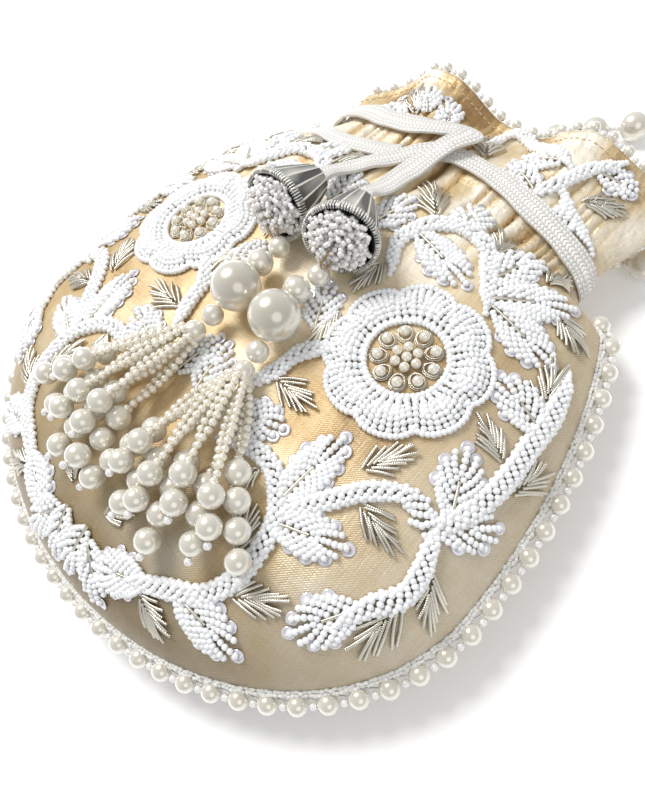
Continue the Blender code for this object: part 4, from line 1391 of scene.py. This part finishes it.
def hem_edging():
    """Small pearls and clear beads sewn along the open edge of the frill."""
    count = AROUND_FRONT + AROUND_BACK
    line = []
    edge = []
    for step in range(count):
        middle = (cloth_point(step, HEM_AT) + cloth_point(step, HEM_AT, CLOTH_WALL)) / 2
        line.append(middle + Vector((0, HEM_OVERHANG, 0)))
        edge.append(middle + Vector((0, 0.2 * MM, 0)))
    centres = spaced(line, HEM_PEARL_PITCH, closed=True)
    sewn = pearls("sewn", centres, [HEM_PEARL] * len(centres), PEARL, 16, 10)
    back = Vector((0, 0.7 * MM, 0))
    between = [first.lerp(second, 0.5) - back for first, second in zip(centres, centres[1:] + centres[:1])]
    clear = pearls("clear", between, [HEM_CLEAR_BEAD] * len(between), CLEAR, 10, 6)
    edge.append(edge[0].copy())
    stitches = beads(
        "stitches", [edge], WHITE_THREAD, width=0.9 * MM, pitch=1.0 * MM, segments=6, rings=4
    )
    piece = joined("hem_pearls", (sewn, clear, stitches))
    return on_bag(piece, "hem_edging", slot="pearl")


def hem_stitching():
    """The row of stitches that holds the frill's turned hem."""
    line = []
    for step in range(6, AROUND_FRONT - 6):
        x, y, _ = cloth_point(step, HEM_AT - HEM_STITCHES_AT)
        line.append(CLOTH.over(x, y, 0.12 * MM))
    return on_bag(beads(
        "hem_stitches", [line], GOLD_THREAD, width=0.45 * MM, pitch=2.2 * MM, length=1.5 * MM,
        uneven=0.00003, segments=6, rings=4,
    ), slot="silk")


# Drawstring

def resting(x, y, radius):
    """Centre of a ball that lies on the embroidery."""
    return Vector((x, y, plain_top(x, y) + TASSEL_FLOOR + radius))


def cone_place(plan):
    """Centres of a cone's mouth and top, as it lies on the embroidery."""
    mouth_x, mouth_y = (value * MM for value in plan["mouth"])
    apex_x, apex_y = (value * MM for value in plan["apex"])
    mouth = resting(mouth_x, mouth_y, CONE_MOUTH_RADIUS)
    apex = resting(apex_x, apex_y, CONE_TOP_RADIUS)
    return mouth, mouth + (apex - mouth).normalized() * CONE_LENGTH


def side_wrap(side, station, climb):
    """Centreline of a ribbon round the side seam of the neck, from the back to the front."""
    width = half_width(side, station)
    section = []
    for shares, height in (((RIBBON_REACH, 0.95, 0.985, 1.0), back_height), ((0.985, 0.95), front_height)):
        for share in shares:
            x = side * share * width
            rise = climb * len(section) / 5
            section.append(Vector((x, station + rise + neck_line(x, station), height(x, station))))
    line = []
    for index, place in enumerate(section):
        along = section[min(index + 1, len(section) - 1)] - section[max(index - 1, 0)]
        outward = Vector((along.z, 0, -along.x)).normalized() * side
        line.append(place + outward * (RIBBON_CLEARANCE + RIBBON_THICKNESS))
    return line


def wrapped_line(points, side, station):
    """A fine line through the points, with normals that turn round the side seam."""
    fine = spaced(curve_through(points), 1.0 * MM)
    normals = []
    side_at = RIBBON_REACH * half_width(side, station)
    for index, item in enumerate(fine):
        along = fine[min(index + 1, len(fine) - 1)] - fine[max(index - 1, 0)]
        outward = Vector((along.z, 0, -along.x)).normalized() * side
        normals.append(outward if item.x * side > side_at else plain_normal(item.x, item.y))
    return fine, normals


def front_ribbon_path(side, route, plan):
    """Centreline and normals of one half of the drawstring, back of the neck to cone."""
    seat = RIBBON_CLEARANCE + RIBBON_THICKNESS / 2
    places = []
    for share in (RIBBON_REACH, 0.82, 0.72, 0.60):
        x = side * share * half_width(side, NECK_AT)
        places.append((x, NECK_AT + NECK_RIBBON_RISE + neck_line(x, NECK_AT), seat))
    places += [(x * MM, y * MM, lift * MM) for x, y, lift in route]
    mouth, top = cone_place(plan)
    axis = (top - mouth).normalized()
    ends = [top + axis * (RIBBON_CLEARANCE + share * RIBBON_FACET) for share in (1, 0)]
    places.append((ends[0].x, ends[0].y, ends[0].z - plain_top(ends[0].x, ends[0].y)))
    line = spaced(curve_through([Vector(item) for item in places]), RIBBON_FACET)
    wrap = side_wrap(side, NECK_AT, NECK_RIBBON_RISE)
    points = wrap + [on_plain(*item) for item in line[:-1]] + ends
    return wrapped_line(points, side, NECK_AT)


def second_turn_path():
    """The ribbon's other pass over the left of the neck, which ends under the crossing."""
    points = side_wrap(-1, SECOND_TURN_AT, 0.0)
    points += [on_plain(*(value * MM for value in item)) for item in SECOND_TURN_ROUTE]
    return wrapped_line(points, -1, SECOND_TURN_AT)


def back_ribbon_path():
    seat = RIBBON_CLEARANCE + RIBBON_THICKNESS / 2
    points = []
    for step in range(BACK_SEGMENTS - 1):
        cosine = math.cos(math.pi * step / (BACK_SEGMENTS - 2))
        x = RIBBON_REACH * half_width(cosine, NECK_AT) * cosine
        y = NECK_AT + neck_line(x, NECK_AT)
        points.append(Vector((x, y, plain_under(x, y))) - plain_normal(x, y, plain_under) * seat)
    fine = spaced(curve_through(points), 1.0 * MM)
    return fine, [plain_normal(item.x, item.y, plain_under) for item in fine]


def braid(name, points, normals, narrow_end=False):
    """A flat braid, crumpled a little, which may narrow where it enters a cone."""
    reach = [0.0]
    for first, second in zip(points, points[1:]):
        reach.append(reach[-1] + (second - first).length)
    seed = len(points)
    rings = []
    for index, point in enumerate(points):
        heading = (points[min(index + 1, len(points) - 1)] - points[max(index - 1, 0)]).normalized()
        level = heading.cross(normals[index]).normalized()
        upright = level.cross(heading).normalized()
        roll = 0.32 * noise.noise(Vector((reach[index] * 70, 3.0, seed)))
        beside = level * math.cos(roll) + upright * math.sin(roll)
        above = upright * math.cos(roll) - level * math.sin(roll)
        left = reach[-1] - reach[index]
        waist = mix(BRAID_END_SHARE, 1.0, smooth(left, 0.0, BRAID_END_REACH)) if narrow_end else 1.0
        waist *= 1 + 0.16 * noise.noise(Vector((reach[index] * 85, 8.0, seed)))
        thick = BRAID_BODY
        if narrow_end:
            thick = mix(BRAID_END_BODY, HANGING_BODY, smooth(left, 0.0, BRAID_SWELL_REACH))
        ring = []
        for step in range(BRAID_SIDES):
            angle = 2 * math.pi * step / BRAID_SIDES
            flat = math.copysign(abs(math.cos(angle)) ** 0.75, math.cos(angle))
            lift = math.copysign(abs(math.sin(angle)) ** 0.55, math.sin(angle))
            crumple = noise.noise(Vector((flat * 1.6, reach[index] * 170, 1.0 + seed)))
            rib = 0.90 + 0.10 * abs(math.cos(BRAID_COLUMNS / 2 * math.pi * flat)) + 0.35 * crumple
            ring.append(point + beside * flat * waist * RIBBON_WIDTH / 2 + above * lift * rib * thick / 2)
        rings.append(ring)

    def charts(index, step):
        turn = 2 * math.pi * step / BRAID_SIDES
        return 0.5 + 0.5 * math.cos(turn), reach[min(index, len(reach) - 1)]

    return lofted(name, rings, BRAID, charts, start=points[0], end=points[-1])


# Tassels

def next_pearl(previous, previous_radius, target, radius):
    """Centre of the next pearl on the thread, touching the one before."""
    reach = previous_radius + radius + GAP
    heading = Vector((target[0] * MM - previous.x, target[1] * MM - previous.y)).normalized()
    travel = reach
    for _ in range(8):
        centre = resting(previous.x + heading.x * travel, previous.y + heading.y * travel, radius)
        travel = math.sqrt(max(0.0, reach ** 2 - (centre.z - previous.z) ** 2))
    return centre


def cone(name, mouth, top):
    """A ribbed cone of metal thread, hollow from its mouth, with an overcast rim."""
    axis = (top - mouth).normalized()
    beside = axis.orthogonal().normalized()
    ahead = axis.cross(beside)
    sides = CONE_RIBS * 8
    inner_mouth = CONE_MOUTH_RADIUS - CONE_WALL
    inner_top = CONE_TOP_RADIUS - CONE_WALL
    profile = [(0.55 * CONE_TOP_RADIUS, CONE_LENGTH, 0), (0.86 * CONE_TOP_RADIUS, 0.985 * CONE_LENGTH, 0)]
    for step in range(13):
        share = step / 12
        outer = mix(CONE_TOP_RADIUS, CONE_MOUTH_RADIUS, share) * (1 + 0.03 * math.sin(math.pi * share))
        profile.append((outer, CONE_SHOULDER * CONE_LENGTH * (1 - share), 1))
    profile.append((mix(inner_mouth, CONE_MOUTH_RADIUS, 0.5), -0.35 * MM, 0))
    for step in range(5):
        share = step / 4
        profile.append((mix(inner_mouth, inner_top, share), CONE_HOLLOW * CONE_LENGTH * share, 0))
    rings = []
    for radius, height, ribbed in profile:
        ring = []
        for step in range(sides):
            angle = 2 * math.pi * step / sides
            ridge = abs(math.cos(angle * CONE_RIBS / 2)) ** 6
            wide = radius + ribbed * CONE_RIDGE * (ridge - 0.3)
            ring.append(mouth + axis * height + (beside * math.cos(angle) + ahead * math.sin(angle)) * wide)
        rings.append(ring)
    start = mouth + axis * CONE_LENGTH
    end = mouth + axis * CONE_HOLLOW * CONE_LENGTH

    def charts(index, step):
        return step / sides, profile[min(index, len(profile) - 1)][1]

    body = lofted("body", rings, ZARI, charts, start=start, end=end)
    stitches = []
    for step in range(OVERCAST_STITCHES):
        angle = 2 * math.pi * step / OVERCAST_STITCHES
        out = beside * math.cos(angle) + ahead * math.sin(angle)
        stitches.append([
            mouth + out * (CONE_MOUTH_RADIUS + 0.25 * MM) + axis * 1.7 * MM,
            mouth + out * (CONE_MOUTH_RADIUS + 0.2 * MM) - axis * 0.1 * MM,
            mouth + out * inner_mouth - axis * 0.3 * MM,
            mouth + out * (inner_mouth - 0.1 * MM) + axis * 1.3 * MM,
        ])
    overcast = tubes("overcast", stitches, SILVER_THREAD, width=0.42 * MM)
    return on_bag(joined("zari_cone_" + name, (body, overcast)), "cone_" + name, slot="zari")


def tuft(name, mouth, top, first, seed):
    """Loops of clear beads that spill from the cone, and the wire eye below them."""
    axis = (mouth - top).normalized()
    beside = axis.orthogonal().normalized()
    ahead = axis.cross(beside)
    chance = random.Random(seed)
    loops = []
    for index in range(TUFT_LOOPS):
        share_out = ((index + 0.5) / TUFT_LOOPS) ** 0.5
        angle = index * math.pi * (3 - math.sqrt(5))
        out = beside * math.cos(angle) + ahead * math.sin(angle)
        lean = math.radians(80 * share_out)
        heading = axis * math.cos(lean) + out * math.sin(lean)
        turn = heading.cross(out).normalized() if index else out
        width = chance.uniform(1.0, 2.0) * MM
        reach = chance.uniform(5.4, 8.2) * mix(1.0, 0.72, share_out) * MM
        base = mouth - axis * 1.2 * MM + out * TUFT_ROOT_SPREAD * share_out
        loop = []
        for step in range(9):
            share = step / 8
            rise = math.sin(math.pi * share)
            loop.append(base + heading * reach * rise + turn * width * math.cos(math.pi * share))
        loops.append(loop)
    cluster = beads(
        "cluster", loops, CLEAR, width=TUFT_BEAD, pitch=1.25 * MM, length=1.6 * MM,
        uneven=0.00022, seed=seed,
    )
    eye_from = mouth + axis * 4.0 * MM
    run = first - eye_from
    pin = run.normalized()
    across_pin = pin.orthogonal().normalized()
    loop = []
    for step in range(17):
        angle = 2 * math.pi * step / 16
        loop.append(eye_from + pin * (run.length * 0.42 - run.length * 0.42 * math.cos(angle))
                    + across_pin * 1.25 * MM * math.sin(angle))
    loop[-1] = loop[0].copy()
    wire = tubes("wire", [loop], GOLD_WIRE, width=TUFT_WIRE, sides=8)
    return on_bag(joined("bead_tuft_" + name, (cluster, wire)), "tuft_" + name, slot="clear_bead")


def pearl_chain(plan):
    """Centres and radii of the tuft's ball and of the five pearls below it."""
    mouth, top = cone_place(plan)
    slope = math.atan2(CONE_MOUTH_RADIUS - CONE_TOP_RADIUS, 0.9 * CONE_LENGTH)
    wall_at = CONE_MOUTH_RADIUS - CONE_WALL - TUFT_SET_IN * math.tan(slope)
    centres = [mouth - (mouth - top).normalized() * TUFT_SET_IN]
    radii = [wall_at * math.cos(slope) - 2 * GAP]
    for label, size in PEARL_SIZES.items():
        centres.append(next_pearl(centres[-1], radii[-1], plan[label], size / 2))
        radii.append(size / 2)
    return centres, radii


def tassel(name, plan, rows, seed):
    """Cone, tuft, pearls and strands. Gives the pieces that hang from the ribbon."""
    mouth, top = cone_place(plan)
    centres, radii = pearl_chain(plan)
    pieces = [cone(name, mouth, top), tuft(name, mouth, top, centres[1], seed)]
    for index, label in enumerate(PEARL_SIZES, 1):
        fine = (48, 28) if label == "big" else (28, 18)
        finish = BIG_PEARL_FINISH if label == "big" else PEARL
        piece = pearls(label + "_pearl_" + name, [centres[index]], [2 * radii[index]], finish, *fine)
        pieces.append(on_bag(piece, "pearl_" + label + "_" + name, slot="pearl"))
    pieces += strands(name, centres[-1], plan["fan"], rows, seed)
    return pieces


def strand_rows(chains):
    """Pearl centres of every strand: the long ones on the cloth, then short ones on top of them."""
    lying = []
    rows = {}
    for between in (0, 0.5):
        for name, (root, fan) in chains.items():
            for index in range(len(fan) - math.ceil(between)):
                turn = math.radians(mix(fan[index], fan[min(index + 1, len(fan) - 1)], between))
                heading = Vector((math.cos(turn), math.sin(turn)))
                length = STRAND_LENGTH + (STRAND_STAGGER if index % 2 else 0.0)
                reach = length - (STRAND_PEARLS - 1) * STRAND_PEARL_PITCH + STRAND_SLACK
                row = []
                for place in range(2 if between else STRAND_PEARLS + 1 - index % 2):
                    at = Vector(root[:2]) + heading * (reach + (place + between) * TOUCHING_PITCH)
                    centre = resting(at.x, at.y, STRAND_PEARL / 2)
                    while any((centre - other).length < 0.995 * STRAND_PEARL for other in lying):
                        centre.z += 0.2 * MM
                    lying.append(centre)
                    row.append(centre)
                rows[name, index, between] = row
    return rows


def strand(root, aim, centres, lift, seed):
    """Doubled chains from the last pearl to a row of touching pearls, with a stop bead."""
    chance = random.Random(seed)
    radius = STRAND_PEARL / 2
    start = root + aim.normalized() * (LOWER_PEARL / 2 + GAP)
    run = centres[0] - start
    beside = Vector((-run.y, run.x, 0)).normalized()
    chains = []
    for hand in (-1, 1):
        chain = []
        for step in range(9):
            share = step / 8
            bow = math.sin(math.pi * share) * hand * chance.uniform(1.0, 1.7) * MM
            arch = Vector((0, 0, math.sin(math.pi * share) * lift + 0.5 * MM * hand))
            chain.append(start + run * share * (1 - radius / run.length) + beside * bow + arch)
        chains.append(chain)
    seeds = beads(
        "seeds", chains, SMALL_PEARL_FINISH, width=CHAIN_SEED, pitch=CHAIN_SEED_PITCH, length=2.25 * MM,
        uneven=0.00012, seed=seed, segments=10, rings=8,
    )
    end = centres[-1] + (centres[-1] - centres[-2]).normalized() * (radius + 1.0 * MM)
    stop = pearls("stop", [end], [STOP_BEAD], CLEAR, 12, 8)
    sizes = [STRAND_PEARL * chance.uniform(0.97, 1.03) for _ in centres]
    return [seeds, pearls("balls", centres, sizes, PEARL, 24, 16), stop]


def strands(name, root, fan, rows, seed):
    """A fan of strands, with shorter ones that lie in the hollows between them."""
    middle = math.radians((fan[0] + fan[-1]) / 2)
    ahead = Vector((math.cos(middle), math.sin(middle)))
    pieces = []
    for index in range(len(fan)):
        parts = []
        for between in (0, 0.5):
            if (name, index, between) not in rows:
                continue
            arc = math.pi * (index + between) / (len(fan) - 1)
            sideways = Vector((ahead.y, -ahead.x)) * CHAIN_SPREAD * math.cos(arc)
            aim = Vector((*(ahead * CHAIN_LEAD + sideways), CHAIN_SPREAD * (math.sin(arc) - 0.5 + between)))
            lift = (1.6 if between else -0.8) * MM
            parts += strand(root, aim, rows[name, index, between], lift, seed + 10 * index + int(4 * between))
        label = "%s_%d" % (name, index + 1)
        piece = joined("pearl_strand_" + label, parts)
        pieces.append(on_bag(piece, "strand_" + label, slot="pearl"))
    return pieces


def handle():
    """Pearls with clear beads between them on a thread, and the woven net that it is sewn in by."""
    route = curve_through([Vector((x, y, 0)) * MM for x, y in HANDLE_ROUTE])
    centres = spaced(route, HANDLE_PITCH)
    for centre in centres:
        centre.z = HANDLE_PEARL / 2 + GAP
    for end in (centres[0], centres[-1]):
        end.z = plain_under(end.x, end.y) - HANDLE_END_BEAD / 2 - GAP
    body = centres[NET_ENDS_AT:-2]
    balls = pearls("balls", body, [HANDLE_PEARL] * len(body), PEARL, 28, 18)
    small = []
    for first, second in zip(body, body[1:]):
        for share in (0.42, 0.5, 0.58):
            small.append(first.lerp(second, share))
    clear = pearls("clear", small, [HANDLE_CLEAR_BEAD] * len(small), CLEAR, 12, 8)
    sewn = spaced(centres[-3:], HANDLE_END_BEAD)[1:]
    leads = pearls("leads", sewn, [HANDLE_END_BEAD] * len(sewn), PEARL, 16, 10)
    lead = spaced(curve_through(centres[:NET_ENDS_AT + 1]), NET_PEARL)
    net = []
    for index, place in enumerate(lead[:-2]):
        along = (lead[index + 1] - place).normalized()
        beside = Vector((-along.y, along.x, 0))
        for row in (-1.5, -0.5, 0.5, 1.5):
            close = min(1.0, 0.3 + 0.12 * (len(lead) - 2 - index))
            sway = 0.3 * math.sin(1.3 * index + 2 * row)
            net.append(place + beside * (row + sway) * NET_PEARL * close + along * NET_PEARL / 4)
    woven = pearls("woven", net, [NET_PEARL] * len(net), SMALL_PEARL_FINISH, 12, 8)
    thread = tubes("thread", [centres], WHITE_THREAD, width=0.7 * MM)
    piece = joined("handle_pearls", (balls, clear, leads, woven, thread))
    on_bag(piece, "handle_strand", slot="pearl")
    return piece, centres


# Camera, light and floor

AZIMUTH = 1.258
ELEVATION = 1.038
ROLL = -0.561
DISTANCE = 0.2296
AIM = Vector((0.01384, 0.0223, 0.0))
FOCAL = 30.754
KEY_SIZE = 0.50
KEY_POWER = 10.0
FILL_SIZE = 0.9
FILL_POWER = 2.0
SKY_STRENGTH = 0.52
FLOOR_GLOW = 0.11


def camera():
    """The photograph's viewpoint: close, high on the right, turned on its axis."""
    back = Vector((
        math.sin(AZIMUTH) * math.cos(ELEVATION), -math.cos(AZIMUTH) * math.cos(ELEVATION),
        math.sin(ELEVATION),
    ))
    level = (-back).cross(Vector((0, 0, 1))).normalized()
    upright = level.cross(-back)
    right = level * math.cos(ROLL) + upright * math.sin(ROLL)
    up = upright * math.cos(ROLL) - level * math.sin(ROLL)
    data = bpy.data.cameras.new("photograph")
    data.lens = FOCAL
    data.sensor_width = 36
    data.clip_start = 0.01
    view = bpy.data.objects.new("photograph", data)
    bpy.context.scene.collection.objects.link(view)
    turn = Matrix((right, up, back)).transposed().to_4x4()
    view.matrix_world = Matrix.Translation(AIM + back * DISTANCE) @ turn
    bpy.context.scene.camera = view
    return right, up


def lamp(name, place, size, power, shade):
    data = bpy.data.lights.new(name, "AREA")
    data.shape = "DISK"
    data.size = size
    data.energy = power
    data.color = shade
    light = bpy.data.objects.new(name, data)
    bpy.context.scene.collection.objects.link(light)
    aim = AIM - place
    light.matrix_world = Matrix.Translation(place) @ aim.to_track_quat("-Z", "Y").to_matrix().to_4x4()


def studio(right, up):
    """A broad key from the upper left of the view, a paler fill, and an even sky."""
    left_high = up - right * 0.75
    flat = Vector((left_high.x, left_high.y, 0)).normalized()
    lamp("key", AIM + flat * 0.56 + Vector((0, 0, 0.90)), KEY_SIZE, KEY_POWER, (1.0, 0.985, 0.96))
    lamp("fill", AIM - flat * 0.9 + Vector((0, 0, 0.75)), FILL_SIZE, FILL_POWER, (0.95, 0.97, 1.0))
    world = bpy.data.worlds.new("pale studio")
    world.use_nodes = True
    sky = world.node_tree.nodes["Background"]
    sky.inputs["Color"].default_value = rgba(0.98, 0.985, 1.0)
    sky.inputs["Strength"].default_value = SKY_STRENGTH
    bpy.context.scene.world = world
    form = bmesh.new()
    bmesh.ops.create_grid(form, x_segments=1, y_segments=1, size=1.6)
    mesh = bpy.data.meshes.new("pale_floor")
    form.to_mesh(mesh)
    form.free()
    paper = Finish("pale_paper", roughness=0.85, emission_strength=FLOOR_GLOW)
    paper.shader.inputs["Emission Color"].default_value = rgba(1.0, 1.0, 1.0)
    grain = paper.speckle(paper.place(), 500.0, 2.0)
    paper.feed("Base Color", paper.blend(grain, rgba(0.95, 0.95, 0.95), rgba(0.97, 0.97, 0.97)))
    mesh.materials.append(paper.material)
    put("pale_floor", mesh)
    bpy.context.scene.view_settings.view_transform = "Standard"


view_right, view_up = camera()
studio(view_right, view_up)

THREADED_BEADS = threaded_beads()
SET_PEARLS = set_pearls()
DRAWN_TUBES = drawn_tubes()
SILK = silk_finish()
SEED = seed_finish()
# The second colour of each pearl finish is its painted rim reflection.
PEARL = pearl_finish()
BIG_PEARL_FINISH = pearl_finish("big_pearl", (0.64, 0.59, 0.485), (1.0, 0.99, 0.945), 90.0)
SMALL_PEARL_FINISH = pearl_finish("seed_pearl", (0.90, 0.84, 0.70), (0.97, 0.94, 0.86), 500.0)
CLEAR = clear_finish()
BULLION = metal_finish("bullion", (0.46, 0.43, 0.36), (0.93, 0.89, 0.79), 0.00055)
GOLD_WIRE = metal_finish("gold_wire", (0.28, 0.18, 0.10), (0.66, 0.50, 0.32), 0.01)
SILVER_THREAD = metal_finish("silver_thread", (0.58, 0.58, 0.54), (0.96, 0.96, 0.92), 0.0006)
ZARI = zari_finish()
BRAID = braid_finish()
SEQUIN = sequin_finish()
WHITE_THREAD = thread_finish("white_thread", (0.84, 0.83, 0.79))
GOLD_THREAD = thread_finish("gold_thread", (0.62, 0.46, 0.26))

# The cords first, then the cloth and what is sewn to it
TASSELS = {"right": RIGHT_TASSEL, "left": LEFT_TASSEL}
strand_places = strand_rows({name: (pearl_chain(plan)[0][-1], plan["fan"]) for name, plan in TASSELS.items()})
right_pieces = tassel("right", RIGHT_TASSEL, strand_places, 41)
left_pieces = tassel("left", LEFT_TASSEL, strand_places, 43)
for name, side, route, plan, hung in (
    ("right", 1, RIGHT_END_ROUTE, LEFT_TASSEL, left_pieces),
    ("left", -1, LEFT_END_ROUTE, RIGHT_TASSEL, right_pieces),
):
    points, normals = front_ribbon_path(side, route, plan)
    ribbon = on_bag(braid("ribbon_" + name, points, normals, True), "drawstring_" + name, slot="braid")
    length_of(points)
    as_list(hung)
points, normals = back_ribbon_path()
on_bag(braid("ribbon_back", points, normals), "drawstring_back", slot="braid")
points, normals = second_turn_path()
second_turn = on_bag(braid("ribbon_second_turn", points, normals), slot="braid")
length_of(points)
handle_piece, handle_path = handle()
length_of(handle_path)

bag = on_bag(silk_bag(), "bag_cloth", slot="silk")
CLOTH = Cloth(bag)
for side, name in ((1, "right"), (-1, "left")):
    flower_beads(side, name)
    flower_eye(side, name)
    embroidery(side, name)
frill_embroidery()
rim_edging()
hem_edging()
hem_stitching()
